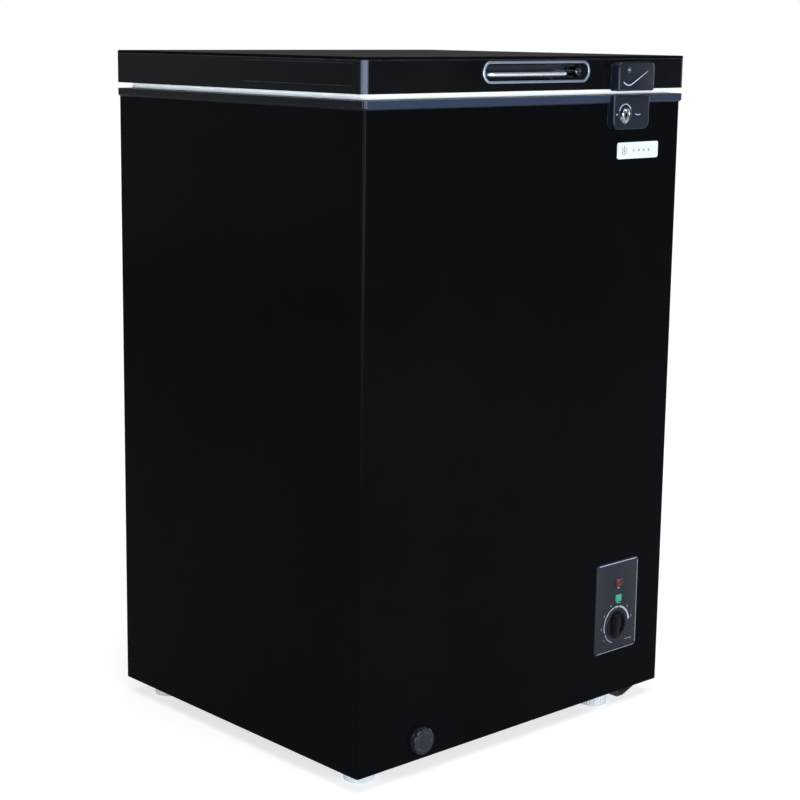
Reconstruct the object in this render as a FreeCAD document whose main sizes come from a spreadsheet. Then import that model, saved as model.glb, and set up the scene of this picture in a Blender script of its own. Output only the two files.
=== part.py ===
import FreeCAD, Part
import math
import os
import re
import Sketcher

# A chest freezer of about 100 litres, in millimetres. +Z is up, the front looks along -Y and the
# hinges are at the back. The origin is on the floor, under the middle of the bounding box.

document = FreeCAD.newDocument("ChestFreezer")
sheet = document.addObject("Spreadsheet::Sheet", "Dimensions")

DIMENSIONS = {
    # cabinet
    "cabinet_width": 538, "cabinet_depth": 461, "cabinet_bottom": 20, "cabinet_top": 788,
    "sheet_gauge": 0.8, "wrap_corner": 3,
    "liner_width": 434, "liner_depth": 357, "liner_bottom": 75, "liner_corner": 14,
    "step_left": 23, "step_top": 285, "bay_left": 75, "bay_top": 235, "base_gauge": 1.2,
    "rim_reach": 3, "rim_top": 798, "rim_corner": 5, "rim_chamfer": 2,
    # lid
    "lid_width": 545, "lid_depth": 467, "lid_bottom": 805, "lid_top": 845, "lid_corner": 6,
    "lid_wall": 2.5, "seam_level": 841.5, "flange_opening_width": 464, "flange_opening_depth": 386,
    "panel_width": 492, "panel_depth": 412, "pan_width": 456, "pan_depth": 378, "pan_rise": 8,
    "gasket_width": 521, "gasket_depth": 443, "gasket_section": 13, "gasket_bottom": 798.2,
    "scoop_back": -18, "scoop_front": -215, "scoop_low": 814, "scoop_high": 838, "scoop_reach": 8,
    # handle
    "handle_length": 183, "handle_height": 26, "handle_level": 827, "handle_pocket": 22,
    "bezel_edge": 2, "bezel_wall": 1.2, "bezel_proud": 1.5, "grip_left": -78, "grip_right": 57,
    "grip_level": 824.3, "grip_radius": 2.6, "rosette_middle": 76, "rosette_radius": 5.5,
    # lock
    "lock_left": 131, "lock_right": 197.5, "lock_low": 756, "lock_high": 797, "lock_proud": 10,
    "keeper_right": 198, "keeper_low": 803, "keeper_high": 838, "keeper_proud": 14,
    "barrel_middle": 152, "barrel_level": 770, "cover_pivot": 779.5, "barrel_radius": 7, "cam_reach": 40,
    # controls
    "panel_left": 139.5, "panel_right": 220, "panel_low": 78.5, "panel_high": 200,
    "panel_proud": 2.5, "panel_corner": 4.5, "knob_middle": 180.3, "knob_level": 114,
    "knob_radius": 18.4, "shaft_radius": 3, "lamp_middle": 182, "red_level": 170.6,
    "green_level": 150, "lamp_width": 11, "lamp_height": 10,
    "badge_left": 150.7, "badge_right": 228, "badge_low": 719, "badge_high": 739.5,
    # drain
    "drain_middle": -169, "drain_level": 44, "drain_back": -150, "cap_radius": 16.5,
    "cap_proud": 7.5, "spout_radius": 9, "drain_hole_radius": 12,
    # refrigeration
    "can_middle": 165, "can_back": 120, "can_radius": 62, "can_low": 38, "can_high": 205,
    "tube_radius": 3, "coil_radius": 3.5, "condenser_radius": 2.5, "band_depth": 8.2,
    "coil_low": 330, "coil_pitch": 60, "condenser_low": 300, "condenser_pitch": 80,
    # feet
    "left_foot_x": -230, "left_foot_y": 190, "right_foot_x": 176, "right_foot_y": 200,
    "foot_radius": 18.5, "foot_height": 15, "stud_radius": 4, "stud_top": 40,
    # hinges
    "pin_y": 242, "pin_level": 801.5, "pin_radius": 2.5, "knuckle_radius": 5.5,
    "hinge_inside": 150, "hinge_width": 40, "hinge_low": 700,
    # shared clearances
    "running_gap": 0.05, "screw_radius": 2,
    # basket
    "basket_left": 48, "basket_right": 200, "basket_half_depth": 166, "basket_low": 640,
    "basket_high": 790, "basket_wire": 2,
}
for row, (alias, value) in enumerate(DIMENSIONS.items(), start=1):
    sheet.set(f"A{row}", alias)
    sheet.set(f"B{row}", str(value))
    sheet.setAlias(f"B{row}", alias)
document.recompute()


def mm(alias):
    return float(sheet.get(alias))


def bound(text):
    """An expression's text, with the sheet's name put before each alias in it."""
    return re.sub(r"[a-z][a-z_]+", lambda word: "Dimensions." + word.group(0), str(text))


def place(thing, corner):
    for axis, text in zip("xyz", corner):
        thing.setExpression("Placement.Base." + axis, bound(text))


# ---- primitives and booleans ----

def box(name, low, high):
    """A block between two corners, each given as three expressions."""
    block = document.addObject("Part::Box", name)
    place(block, low)
    for side, start, end in zip(("Length", "Width", "Height"), low, high):
        block.setExpression(side, bound(f"({end}) - ({start})"))
    return block


TURNS = {
    "+Z": FreeCAD.Rotation(), "+X": FreeCAD.Rotation(FreeCAD.Vector(0, 1, 0), 90),
    "-Y": FreeCAD.Rotation(FreeCAD.Vector(1, 0, 0), 90),
    "+Y": FreeCAD.Rotation(FreeCAD.Vector(1, 0, 0), -90),
}


def cylinder(name, start, axis, radius, length):
    rod = document.addObject("Part::Cylinder", name)
    rod.Placement = FreeCAD.Placement(FreeCAD.Vector(), TURNS[axis])
    place(rod, start)
    rod.setExpression("Radius", bound(radius))
    rod.setExpression("Height", bound(length))
    return rod


def hexagon(name, start, axis, across, length):
    nut = document.addObject("Part::Prism", name)
    nut.Polygon = 6
    nut.Placement = FreeCAD.Placement(FreeCAD.Vector(), TURNS[axis])
    place(nut, start)
    nut.setExpression("Circumradius", bound(f"({across}) / 1.732"))
    nut.setExpression("Height", bound(length))
    return nut


def fuse(name, *pieces):
    union = document.addObject("Part::MultiFuse", name)
    union.Shapes = list(pieces)
    union.Refine = True
    return union


def group(name, *pieces):
    """Identical fasteners, kept as separate solids."""
    together = document.addObject("Part::Compound", name)
    together.Links = list(pieces)
    return together


def cut(name, base, *tools):
    tool = tools[0] if len(tools) == 1 else fuse(name + "_tools", *tools)
    result = document.addObject("Part::Cut", name)
    result.Base = base
    result.Tool = tool
    return result


def ends(edge):
    return edge.Vertexes[0].Point, edge.Vertexes[-1].Point


def runs_along(edge, axis):
    """Whether an edge is straight and parallel to the axis, 0 for X, 1 for Y, 2 for Z."""
    start, end = ends(edge)
    spans = [abs(end[i] - start[i]) > 1e-4 for i in range(3)]
    return edge.Curve.TypeId == "Part::GeomLine" and spans[axis] and sum(spans) == 1


def at_level(edge, level):
    return all(abs(point.z - level) < 1e-4 for point in ends(edge))


def rounded(name, base, radius, chosen, kind="Part::Fillet"):
    """The base with the edges that `chosen` accepts rounded, or chamfered."""
    document.recompute()
    result = document.addObject(kind, name)
    result.Base = base
    size = mm(radius) if isinstance(radius, str) else radius
    result.Edges = [
        (number, size, size) for number, edge in enumerate(base.Shape.Edges, start=1) if chosen(edge)
    ]
    return result


def upright(edge):
    return runs_along(edge, 2)


def mirrored(name, source, normal=(1, 0, 0)):
    twin = document.addObject("Part::Mirroring", name)
    twin.Source = source
    twin.Normal = FreeCAD.Vector(*normal)
    return twin


# ---- sketched bodies ----

def origin_feature(body, role):
    return next(part for part in body.Origin.OriginFeatures if part.Role == role)


def outline(body, plane, points, offset="0"):
    """A closed sketch on one of the body's origin planes, each corner bound by two expressions."""
    sketch = body.newObject("Sketcher::SketchObject", "Sketch")
    sketch.AttachmentSupport = [(origin_feature(body, plane), "")]
    sketch.MapMode = "FlatFace"
    sketch.setExpression("AttachmentOffset.Base.z", bound(offset))
    count = len(points)
    start = [
        FreeCAD.Vector(9 * math.cos(math.tau * i / count), 9 * math.sin(math.tau * i / count), 0)
        for i in range(count)
    ]
    for i in range(count):
        sketch.addGeometry(Part.LineSegment(start[i], start[(i + 1) % count]))
    for i in range(count):
        sketch.addConstraint(Sketcher.Constraint("Coincident", i, 2, (i + 1) % count, 1))
    for i, (across, along) in enumerate(points):
        for kind, text, value in (("DistanceX", across, start[i].x), ("DistanceY", along, start[i].y)):
            number = sketch.addConstraint(Sketcher.Constraint(kind, -1, 1, i, 1, value))
            sketch.setExpression(f"Constraints[{number}]", bound(text))
    return sketch


def padded(name, plane, points, length, offset="0"):
    """A body made by padding one outline along its plane's normal."""
    body = document.addObject("PartDesign::Body", name)
    pad = body.newObject("PartDesign::Pad", "Pad")
    pad.Profile = outline(body, plane, points, offset)
    pad.setExpression("Length", bound(length))
    return body


def revolved(name, profile, axis="Z_Axis"):
    """A body turned about an axis; the profile is (distance from axis, height) on the XZ plane."""
    body = document.addObject("PartDesign::Body", name)
    turn = body.newObject("PartDesign::Revolution", "Revolution")
    turn.Profile = outline(body, "XZ_Plane", profile)
    turn.ReferenceAxis = (origin_feature(body, axis), [""])
    turn.Angle = 360
    return body


# ---- bent tubes and wires ----

def bent_path(points, bend, closed=False):
    """Straight runs joined by tangent arcs of one radius, smaller where a run is short."""
    corners = [FreeCAD.Vector(*point) for point in points]
    count = len(corners)
    middle = range(count) if closed else range(1, count - 1)
    arcs = {}
    for i in middle:
        before, here, after = corners[i - 1], corners[i], corners[(i + 1) % count]
        inward, onward = (here - before).normalize(), (after - here).normalize()
        turn = inward.getAngle(onward)
        shortest = min((here - before).Length, (after - here).Length)
        trim = min(bend * math.tan(turn / 2), 0.45 * shortest)
        radius = trim / math.tan(turn / 2)
        start, end = here - inward * trim, here + onward * trim
        towards = (onward - inward).normalize()
        bulge = here + towards * (radius / math.cos(turn / 2) - radius)
        arcs[i] = (start, bulge, end)
    edges = []
    last = corners[0] if not closed else arcs[0][2]
    for i in list(middle)[1 if closed else 0:]:
        edges.append(Part.LineSegment(last, arcs[i][0]).toShape())
        edges.append(Part.Arc(*arcs[i]).toShape())
        last = arcs[i][2]
    if closed:
        edges.append(Part.LineSegment(last, arcs[0][0]).toShape())
        edges.append(Part.Arc(*arcs[0]).toShape())
    else:
        edges.append(Part.LineSegment(last, corners[-1]).toShape())
    return Part.Wire(edges)


def tube(name, points, radius, bend, closed=False):
    """A round bar swept along a bent path; its section is bound to the sheet."""
    path = document.addObject("Part::Feature", name + "_path")
    path.Shape = bent_path(points, bend, closed)
    first = path.Shape.Edges[0]
    section = document.addObject("Part::Circle", name + "_section")
    section.setExpression("Radius", bound(radius))
    start = first.valueAt(first.FirstParameter)
    section.Placement = FreeCAD.Placement(
        start, FreeCAD.Rotation(FreeCAD.Vector(0, 0, 1), first.tangentAt(first.FirstParameter)))
    sweep = document.addObject("Part::Sweep", name)
    sweep.Sections = [section]
    sweep.Spine = (path, [f"Edge{i + 1}" for i in range(len(path.Shape.Edges))])
    sweep.Solid = True
    sweep.Frenet = False
    return sweep


nodes = {}


def keep(name, thing):
    thing.Label = name
    nodes[name] = thing
    return thing


# ---- shared boxes: the sheet-metal envelope, the liner's form and the machine bay ----

INSIDE_X = "cabinet_width / 2 - sheet_gauge"
INSIDE_Y = "cabinet_depth / 2 - sheet_gauge"
BASE_TOP = "cabinet_bottom + base_gauge"


def liner_form(name, shrink):
    """The liner's stepped form, drawn in by `shrink` on every wall and up from the floors."""
    low, step = f"liner_bottom + {shrink}", f"step_top + {shrink}"
    left, right = f"-(liner_width / 2) + {shrink}", f"liner_width / 2 - {shrink}"
    corner = f"step_left - {shrink}"
    top = "cabinet_top" if shrink == "0" else "cabinet_top + 1"
    body = padded(
        name + "_block", "XZ_Plane",
        [(left, low), (corner, low), (corner, step), (right, step), (right, top), (left, top)],
        f"liner_depth - 2 * ({shrink})", f"-(liner_depth / 2 - {shrink})")
    radius = mm("liner_corner") - (mm("sheet_gauge") if shrink != "0" else 0)
    return rounded(name, body, radius, upright)


def wrap_fit(name, blank):
    """A blank whose upright front edges follow the inside of the wrap's folded corners."""
    front = -mm("cabinet_depth") / 2 + mm("sheet_gauge")
    return rounded(name, blank, mm("wrap_corner") - mm("sheet_gauge"),
                   lambda edge: upright(edge) and abs(ends(edge)[0].y - front) < 0.01)


def bay_form(name):
    return box(name, ("bay_left", "-cabinet_depth", "cabinet_bottom - 1"),
               ("cabinet_width", "cabinet_depth", "bay_top"))


# ---- screws: M4 pan heads on the back and the front ----

def pan_screw(name, x, y, level, axis, length="12"):
    """A pan-head screw whose head stands on the face at y; the shank runs into the cabinet."""
    sign = "-" if axis == "+Y" else "+"
    head = cylinder(name + "_head", (x, y, level), axis, "screw_radius * 1.9", "2.2")
    shank_start = (x, f"({y}) {sign} ({length})", level)
    return fuse(name, head, cylinder(name + "_shank", shank_start, axis, "screw_radius", length))


BACK_FACE = "cabinet_depth / 2 + 2"
COVER_SCREWS = [(x, level) for x in ("86", "258") for level in ("36", "220")]
BRACKET_SCREWS = [
    (f"{side} * (hinge_inside + hinge_width / 2)", level)
    for side in ("1", "-1") for level in ("hinge_low + 14", "hinge_low + 62")
]


def screw_holes(name, points, y_from, y_to):
    return [
        cylinder(f"{name}_{i}", (x, y_from, level), "+Y", "screw_radius + 0.2", f"({y_to}) - ({y_from})")
        for i, (x, level) in enumerate(points)
    ]


# ---- outer wrap, back and bottom ----

def make_outer_wrap():
    out_x, out_y = "cabinet_width / 2", "cabinet_depth / 2"
    shell = padded(
        "wrap_shell", "XY_Plane",
        [(f"-{out_x}", out_y), (f"-{out_x}", f"-{out_y}"), (out_x, f"-{out_y}"), (out_x, out_y),
         (INSIDE_X, out_y), (INSIDE_X, f"-({INSIDE_Y})"), (f"-({INSIDE_X})", f"-({INSIDE_Y})"),
         (f"-({INSIDE_X})", out_y)],
        "cabinet_top - cabinet_bottom", "cabinet_bottom")
    front = -mm("cabinet_depth") / 2
    gauge = mm("sheet_gauge")
    outer = rounded("wrap_outer", shell, "wrap_corner",
                    lambda edge: upright(edge) and abs(ends(edge)[0].y - front) < 0.01)
    folded = rounded("wrap_folded", outer, mm("wrap_corner") - gauge,
                     lambda edge: upright(edge) and abs(ends(edge)[0].y - front - gauge) < 0.01)
    panel_hole = box("wrap_panel_hole", ("panel_left + 6", "-cabinet_depth", "panel_low + 6"),
                     ("panel_right - 6", "0", "panel_high - 6"))
    drain_hole = cylinder("wrap_drain_hole", ("drain_middle", "0", "drain_level"), "-Y",
                          "spout_radius + 0.3", "cabinet_depth")
    vent_hole = box("wrap_vent_hole", ("200", "26", "66"), ("cabinet_width", "164", "184"))
    lock_holes = screw_holes("wrap_lock_hole", LOCK_SCREWS, "-cabinet_depth", "0")
    return cut("outer_wrap", folded, panel_hole, drain_hole, vent_hole, *lock_holes)


LOCK_SCREWS = [("barrel_middle - 12", "766"), ("barrel_middle + 34", "766")]
keep("outer_wrap", make_outer_wrap())

back_sheet = box("back_sheet", (f"-({INSIDE_X})", INSIDE_Y, "cabinet_bottom"),
                 (INSIDE_X, "cabinet_depth / 2", "cabinet_top"))
bay_door = box("back_bay_door", ("92", "0", "42"), ("252", "cabinet_depth", "214"))
keep("back_panel", cut(
    "back_panel", back_sheet, bay_door,
    *screw_holes("back_cover_hole", COVER_SCREWS, "0", "cabinet_depth"),
    *screw_holes("back_bracket_hole", BRACKET_SCREWS, "0", "cabinet_depth")))

FEET = {
    "front_left": ("left_foot_x", "-left_foot_y"), "rear_left": ("left_foot_x", "left_foot_y"),
    "front_right": ("right_foot_x", "-right_foot_y"), "rear_right": ("right_foot_x", "right_foot_y"),
}


def stud_holes(name, side):
    return [
        cylinder(f"{name}_{corner}", (x, y, "0"), "+Z", "stud_radius + 1", "cabinet_bottom * 2")
        for corner, (x, y) in FEET.items() if corner.endswith(side)
    ]


bottom_sheet = wrap_fit("bottom_sheet", box(
    "bottom_blank", (f"-({INSIDE_X})", f"-({INSIDE_Y})", "cabinet_bottom"),
    ("bay_left", INSIDE_Y, "cabinet_bottom + sheet_gauge")))
keep("bottom_panel", cut("bottom_panel", bottom_sheet, *stud_holes("bottom_hole", "left")))

# ---- machine bay: stepped bulkhead and the base that carries the compressor ----

bulkhead_sheet = padded(
    "bulkhead_sheet", "XZ_Plane",
    [("bay_left", BASE_TOP), ("bay_left + sheet_gauge", BASE_TOP),
     ("bay_left + sheet_gauge", "bay_top - sheet_gauge"), (INSIDE_X, "bay_top - sheet_gauge"),
     (INSIDE_X, "bay_top"), ("bay_left", "bay_top")],
    f"2 * ({INSIDE_Y}) - wrap_corner", f"-({INSIDE_Y})")
EVAPORATOR_X = "liner_width / 2 + coil_radius + 0.2"
PASSAGES = [(EVAPORATOR_X, "0"), ("264", "-30"), ("258", "212"), ("232", "-14"), ("180", "-205")]
keep("machine_bulkhead", cut(
    "machine_bulkhead", bulkhead_sheet,
    *[cylinder(f"bulkhead_hole_{i}", (x, y, "bay_top - 5"), "+Z", "4.1", "10")
      for i, (x, y) in enumerate(PASSAGES)]))

CAN_STUDS = [(f"can_middle {a} 58", f"can_back {b} 58") for a in "+-" for b in "+-"]
base_sheet = wrap_fit("base_sheet", box(
    "base_blank", ("bay_left", f"-({INSIDE_Y})", "cabinet_bottom"), (INSIDE_X, INSIDE_Y, BASE_TOP)))
vent_slots = [
    box(f"base_slot_{i}", (f"{90 + 14 * i}", "-120", "cabinet_bottom - 1"),
        (f"{96 + 14 * i}", "-30", BASE_TOP + " + 1")) for i in range(6)
]
keep("compressor_base", cut(
    "compressor_base", base_sheet, *vent_slots, *stud_holes("base_hole", "right"),
    *[cylinder(f"base_stud_hole_{i}", (x, y, "0"), "+Z", "4", "60")
      for i, (x, y) in enumerate(CAN_STUDS)]))

keep("base_stiffener", padded(
    "base_stiffener", "XZ_Plane",
    [("232", "cabinet_bottom"), ("232", "18.4"), ("207.3", "9"), ("196", "9"),
     ("196", "cabinet_bottom"), ("197.5", "cabinet_bottom"), ("197.5", "10.5"), ("207", "10.5"),
     ("230.8", "19.5")],
    "cabinet_depth - 10", "-(cabinet_depth / 2 - 5)"))


# ---- compressor on its rubber mounts ----

def make_compressor():
    radius = mm("can_radius")
    low, high = mm("can_low"), mm("can_high")
    rim = (low + high) / 2
    half_round = [
        (f"{radius * math.cos(math.radians(angle)):.3f}",
         f"{high - 34 + 34 * math.sin(math.radians(angle)):.3f}") for angle in range(0, 90, 15)
    ]
    underside = [
        (f"{radius * math.cos(math.radians(angle)):.3f}",
         f"{low + 22 - 22 * math.sin(math.radians(angle)):.3f}") for angle in range(75, -1, -15)
    ]
    profile = [("0", "can_low")] + underside + [
        ("can_radius", f"{rim - 2}"), ("can_radius + 3", f"{rim - 2}"),
        ("can_radius + 3", f"{rim + 2}"), ("can_radius", f"{rim + 2}")] + half_round + [
        ("0", "can_high")]
    can = revolved("can_body", profile)
    place(can, ("can_middle", "can_back", "0"))
    legs = rounded("can_legs", box(
        "can_leg_plate", ("can_middle - 68", "can_back - 68", "34"),
        ("can_middle + 68", "can_back + 68", "can_low + 3")), 10, upright)
    stubs = [
        cylinder(f"can_stub_{i}", (x, "can_back - 50", "120"), "-Y", "tube_radius + 1.5", "18")
        for i, x in enumerate(("150", "180"))
    ]
    holes = [
        cylinder(f"can_leg_hole_{i}", (x, y, "30"), "+Z", "4", "20")
        for i, (x, y) in enumerate(CAN_STUDS)
    ]
    return cut("compressor", fuse("can_and_legs", can, legs, *stubs), *holes)


compressor = keep("compressor", make_compressor())
keep("compressor_grommets", group("compressor_grommets", *[
    cut(f"grommet_{i}", cylinder(f"grommet_rubber_{i}", (x, y, BASE_TOP), "+Z", "9", f"34 - ({BASE_TOP})"),
        cylinder(f"grommet_bore_{i}", (x, y, "0"), "+Z", "4", "60"))
    for i, (x, y) in enumerate(CAN_STUDS)]))
keep("compressor_bolts", group("compressor_bolts", *[
    fuse(f"bolt_{i}", cylinder(f"bolt_shank_{i}", (x, y, "cabinet_bottom"), "+Z", "3.8", "26"),
         hexagon(f"bolt_nut_{i}", (x, y, "can_low + 3"), "+Z", "6.5", "5"))
    for i, (x, y) in enumerate(CAN_STUDS)]))

relay_box = rounded("relay_box", box(
    "relay_block", ("can_middle - 82", "can_back - 26", "96"),
    ("can_middle - 50", "can_back + 26", "156")), 4, upright)
keep("compressor_relay_cover", cut("compressor_relay_cover", relay_box, compressor))

# ---- refrigerant circuit ----

evaporator_x = mm("liner_width") / 2 + mm("coil_radius") + 0.2
evaporator_y = mm("liner_depth") / 2 + mm("coil_radius") + 0.2
bay_top = mm("bay_top")


def evaporator_points():
    """Seven turns round the liner; each climbs one pitch on the right-hand wall."""
    level, pitch = mm("coil_low"), mm("coil_pitch")
    points = [(evaporator_x, 0, bay_top + 1), (evaporator_x, 0, level), (evaporator_x, evaporator_y, level)]
    for turn in range(6):
        height = level + turn * pitch
        points += [
            (-evaporator_x, evaporator_y, height), (-evaporator_x, -evaporator_y, height),
            (evaporator_x, -evaporator_y, height), (evaporator_x, -120, height),
            (evaporator_x, -30 if turn == 5 else 60, height + pitch),
        ]
        if turn < 5:
            points.append((evaporator_x, evaporator_y, height + pitch))
    return points


keep("evaporator_coil", tube("evaporator_coil", evaporator_points(), "coil_radius", 16))

condenser_x = mm("cabinet_width") / 2 - mm("sheet_gauge") - mm("condenser_radius") - 0.2
condenser_y = mm("cabinet_depth") / 2 - mm("sheet_gauge") - mm("condenser_radius") - 0.2


def condenser_points():
    """Four passes round three walls of the wrap, then down to the drier."""
    points = [(condenser_x, -30, bay_top + 1)]
    for level in range(4):
        height = mm("condenser_low") + level * mm("condenser_pitch")
        side = 1 if level % 2 == 0 else -1
        start = (side * condenser_x, -30 if level == 0 else 190, height)
        points += [start, (side * condenser_x, -condenser_y, height),
                   (-side * condenser_x, -condenser_y, height), (-side * condenser_x, 190, height)]
    return points + [
        (condenser_x, 190, height + 30), (condenser_x, 214, height + 30),
        (condenser_x, 214, bay_top + 34), (258, 212, bay_top + 14), (258, 212, 225)]


keep("condenser_coil", tube("condenser_coil", condenser_points(), "condenser_radius", 14))
keep("suction_line", tube("suction_line", [
    (evaporator_x, 0, bay_top + 1), (evaporator_x, 0, 160), (180, 4, 120), (180, 52, 120)],
    "tube_radius", 18))
keep("discharge_line", tube("discharge_line", [
    (150, 52, 120), (150, -30, 120), (condenser_x, -30, 120), (condenser_x, -30, bay_top + 1)],
    "condenser_radius", 18))
keep("filter_drier", rounded("filter_drier", cylinder(
    "drier_can", ("258", "212", "150"), "+Z", "8", "75"), 3, lambda edge: True))
keep("capillary_tube", tube("capillary_tube", [
    (258, 212, 150), (258, 212, 120), (258, 14, 100), (232, -14, 110), (232, -14, 690),
    (evaporator_x, -18, 690), (evaporator_x, -29.9, 690)], "1", 6))

# ---- thermostat: body with its shaft, and the sensing bulb on the liner's front wall ----

PANEL_WELL = "-(cabinet_depth / 2 - 5.5)"
keep("thermostat_body", fuse(
    "thermostat_body",
    box("thermostat_case", ("knob_middle - 20", "-224.5", "knob_level - 17"),
        ("knob_middle + 20", "-192", "knob_level + 17")),
    cylinder("thermostat_shaft", ("knob_middle", "-224.5", "knob_level"), "-Y", "shaft_radius", "9")))
keep("thermostat_bulb", fuse(
    "thermostat_bulb",
    tube("bulb_tube", [(180, -205, 131), (180, -205, 286), (168, -182, 303), (150, -182, 303)], "1.2", 10),
    cylinder("bulb_end", ("80", "-182", "303"), "+X", "3", "70")))

# ---- foam, liner and rim ----


def coil_cover(name, reach, low, high):
    return box(name, (f"-(liner_width / 2 + {reach})", f"-(liner_depth / 2 + {reach})", low),
               (f"liner_width / 2 + {reach}", f"liner_depth / 2 + {reach}", high))


foam_block = wrap_fit("foam_block", box(
    "foam_blank", (f"-({INSIDE_X})", f"-({INSIDE_Y})", "cabinet_bottom + sheet_gauge"),
    (INSIDE_X, INSIDE_Y, "cabinet_top")))
condenser_core = rounded(
    "condenser_core", box("condenser_core_block", ("-262.4", "-223.9", "0"), ("262.4", "300", "900")),
    11, lambda edge: upright(edge) and ends(edge)[0].y < 0)
condenser_band = box("condenser_band", ("-300", "-300", "bay_top"), ("300", "196", "560"))
condenser_return = box("condenser_return", ("254", "180", "bay_top"), ("300", "222", "592"))
keep("cabinet_foam", cut(
    "cabinet_foam", foam_block, liner_form("foam_cavity", "0"), bay_form("foam_bay"),
    coil_cover("evaporator_band", "band_depth", "coil_low - 10", "706"),
    cut("condenser_channel", condenser_band, condenser_core), condenser_return,
    box("evaporator_drop", ("217", "-6", "bay_top"), ("226", "6", "coil_low")),
    box("capillary_channel", ("217", "-34", "bay_top"), ("235", "-8", "700")),
    box("bulb_channel", ("76", "-209", "bay_top"), ("185", "-178", "308")),
    cylinder("spout_channel", ("drain_middle", "drain_back - 1", "drain_level"), "-Y",
             "spout_radius + 0.2", "100"),
    cylinder("drain_channel", ("drain_middle", "drain_back", "cabinet_bottom + 8"), "+Z",
             "drain_hole_radius + 1.6", "60"),
    *[cylinder(f"foam_stud_{corner}", (x, y, "0"), "+Z", "10", "46")
      for corner, (x, y) in FEET.items() if corner.endswith("left")],
    *screw_holes("foam_cover_hole", COVER_SCREWS, "200", "cabinet_depth / 2"),
    *screw_holes("foam_bracket_hole", BRACKET_SCREWS, "200", "cabinet_depth / 2"),
    *screw_holes("foam_lock_hole", LOCK_SCREWS, "-cabinet_depth / 2", "-214")))

keep("inner_liner", cut(
    "inner_liner", liner_form("liner_outside", "0"), liner_form("liner_inside", "sheet_gauge"),
    cylinder("liner_drain_hole", ("drain_middle", "drain_back", "liner_bottom - 5"), "+Z",
             "drain_hole_radius", "10")))


def rim_block(name, width, depth, low, high):
    return box(name, (f"-({width}) / 2", f"-({depth}) / 2", low), (f"({width}) / 2", f"({depth}) / 2", high))


def make_top_rim():
    outside = rounded("rim_outside", rim_block(
        "rim_block", "cabinet_width + 2 * rim_reach", "cabinet_depth + 2 * rim_reach",
        "cabinet_top", "rim_top"), "rim_corner", upright)
    eased = rounded("rim_eased", outside, "rim_chamfer",
                    lambda edge: at_level(edge, mm("cabinet_top")), "Part::Chamfer")
    opening = rounded("rim_opening", rim_block(
        "rim_hole", "liner_width - 2 * sheet_gauge", "liner_depth - 2 * sheet_gauge",
        "cabinet_top - 5", "rim_top + 5"), mm("liner_corner") - mm("sheet_gauge"), upright)
    return cut("top_rim", eased, opening)


keep("top_rim", make_top_rim())

# ---- drain: spout through the front, screwed cap and inner plug ----

spout = fuse(
    "spout_body",
    cylinder("spout_run", ("drain_middle", "drain_back - 8", "drain_level"), "-Y", "spout_radius",
             "cabinet_depth / 2 + drain_back - 3"),
    cylinder("spout_riser", ("drain_middle", "drain_back", "drain_level - 12"), "+Z",
             "drain_hole_radius + 1.4", "liner_bottom - drain_level + 12"))
keep("drain_spout", cut(
    "drain_spout", spout,
    cylinder("spout_bore", ("drain_middle", "drain_back", "drain_level"), "-Y", "spout_radius - 2", "120"),
    cylinder("riser_bore", ("drain_middle", "drain_back", "drain_level - 10"), "+Z",
             "drain_hole_radius", "60")))


def make_drain_cap():
    face = "-(cabinet_depth / 2 + 0.3)"
    disc = rounded("cap_round", cylinder(
        "cap_disc", ("drain_middle", face, "drain_level"), "-Y", "cap_radius", "cap_proud - 0.3"),
        1.5, lambda edge: abs(edge.BoundBox.YMin - edge.BoundBox.YMax) < 1e-4
        and edge.BoundBox.YMin < -mm("cabinet_depth") / 2 - 3)
    socket = cylinder("cap_socket", ("drain_middle", "0", "drain_level"), "-Y",
                      "spout_radius + running_gap", "cabinet_depth / 2 + 5.5")
    notches = []
    for i in range(10):
        angle = math.tau * i / 10
        across = f"drain_middle + {math.cos(angle):.4f} * (cap_radius + 1.6)"
        level = f"drain_level + {math.sin(angle):.4f} * (cap_radius + 1.6)"
        notches.append(cylinder(f"cap_notch_{i}", (across, face + " - 2", level), "-Y", "3", "12"))
    return cut("drain_cap", disc, socket, *notches)


keep("drain_cap", make_drain_cap())
keep("drain_plug", fuse(
    "drain_plug",
    cylinder("plug_stem", ("drain_middle", "drain_back", "liner_bottom - 12"), "+Z",
             "drain_hole_radius - 0.4", "13"),
    cylinder("plug_flange", ("drain_middle", "drain_back", "liner_bottom + sheet_gauge + 0.1"), "+Z",
             "drain_hole_radius + 4", "2.4"),
    cylinder("plug_grip", ("drain_middle", "drain_back", "liner_bottom + 3"), "+Z", "5", "6")))


# ---- control panel, lamps and knob ----

def make_control_panel():
    face = "-(cabinet_depth / 2 + panel_proud)"
    plate = rounded("panel_corners", box(
        "panel_plate", ("panel_left", face, "panel_low"),
        ("panel_right", "-cabinet_depth / 2", "panel_high")), "panel_corner",
        lambda edge: runs_along(edge, 1))
    bevelled = rounded(
        "panel_bevel", plate, 1.4,
        lambda edge: edge.BoundBox.YMax < -mm("cabinet_depth") / 2 - mm("panel_proud") + 1e-3,
        "Part::Chamfer")
    well = cylinder("panel_well", ("knob_middle", PANEL_WELL, "knob_level"), "-Y",
                    "knob_radius + 1.8", "5.6")
    well_hole = cylinder("panel_well_hole", ("knob_middle", "-226.4", "knob_level"), "-Y",
                         "knob_radius + 0.7", "12")
    bush_hole = cylinder("panel_bush_hole", ("knob_middle", "-220", "knob_level"), "-Y", "5", "12")
    lamp_holes = [
        box(f"panel_lamp_hole_{level}", ("lamp_middle - 4.2", "-240", f"{level} - 3.7"),
            ("lamp_middle + 4.2", "-220", f"{level} + 3.7")) for level in ("red_level", "green_level")
    ]
    return cut("control_panel", fuse("panel_and_well", bevelled, well), well_hole, bush_hole, *lamp_holes)


keep("control_panel", make_control_panel())


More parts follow.
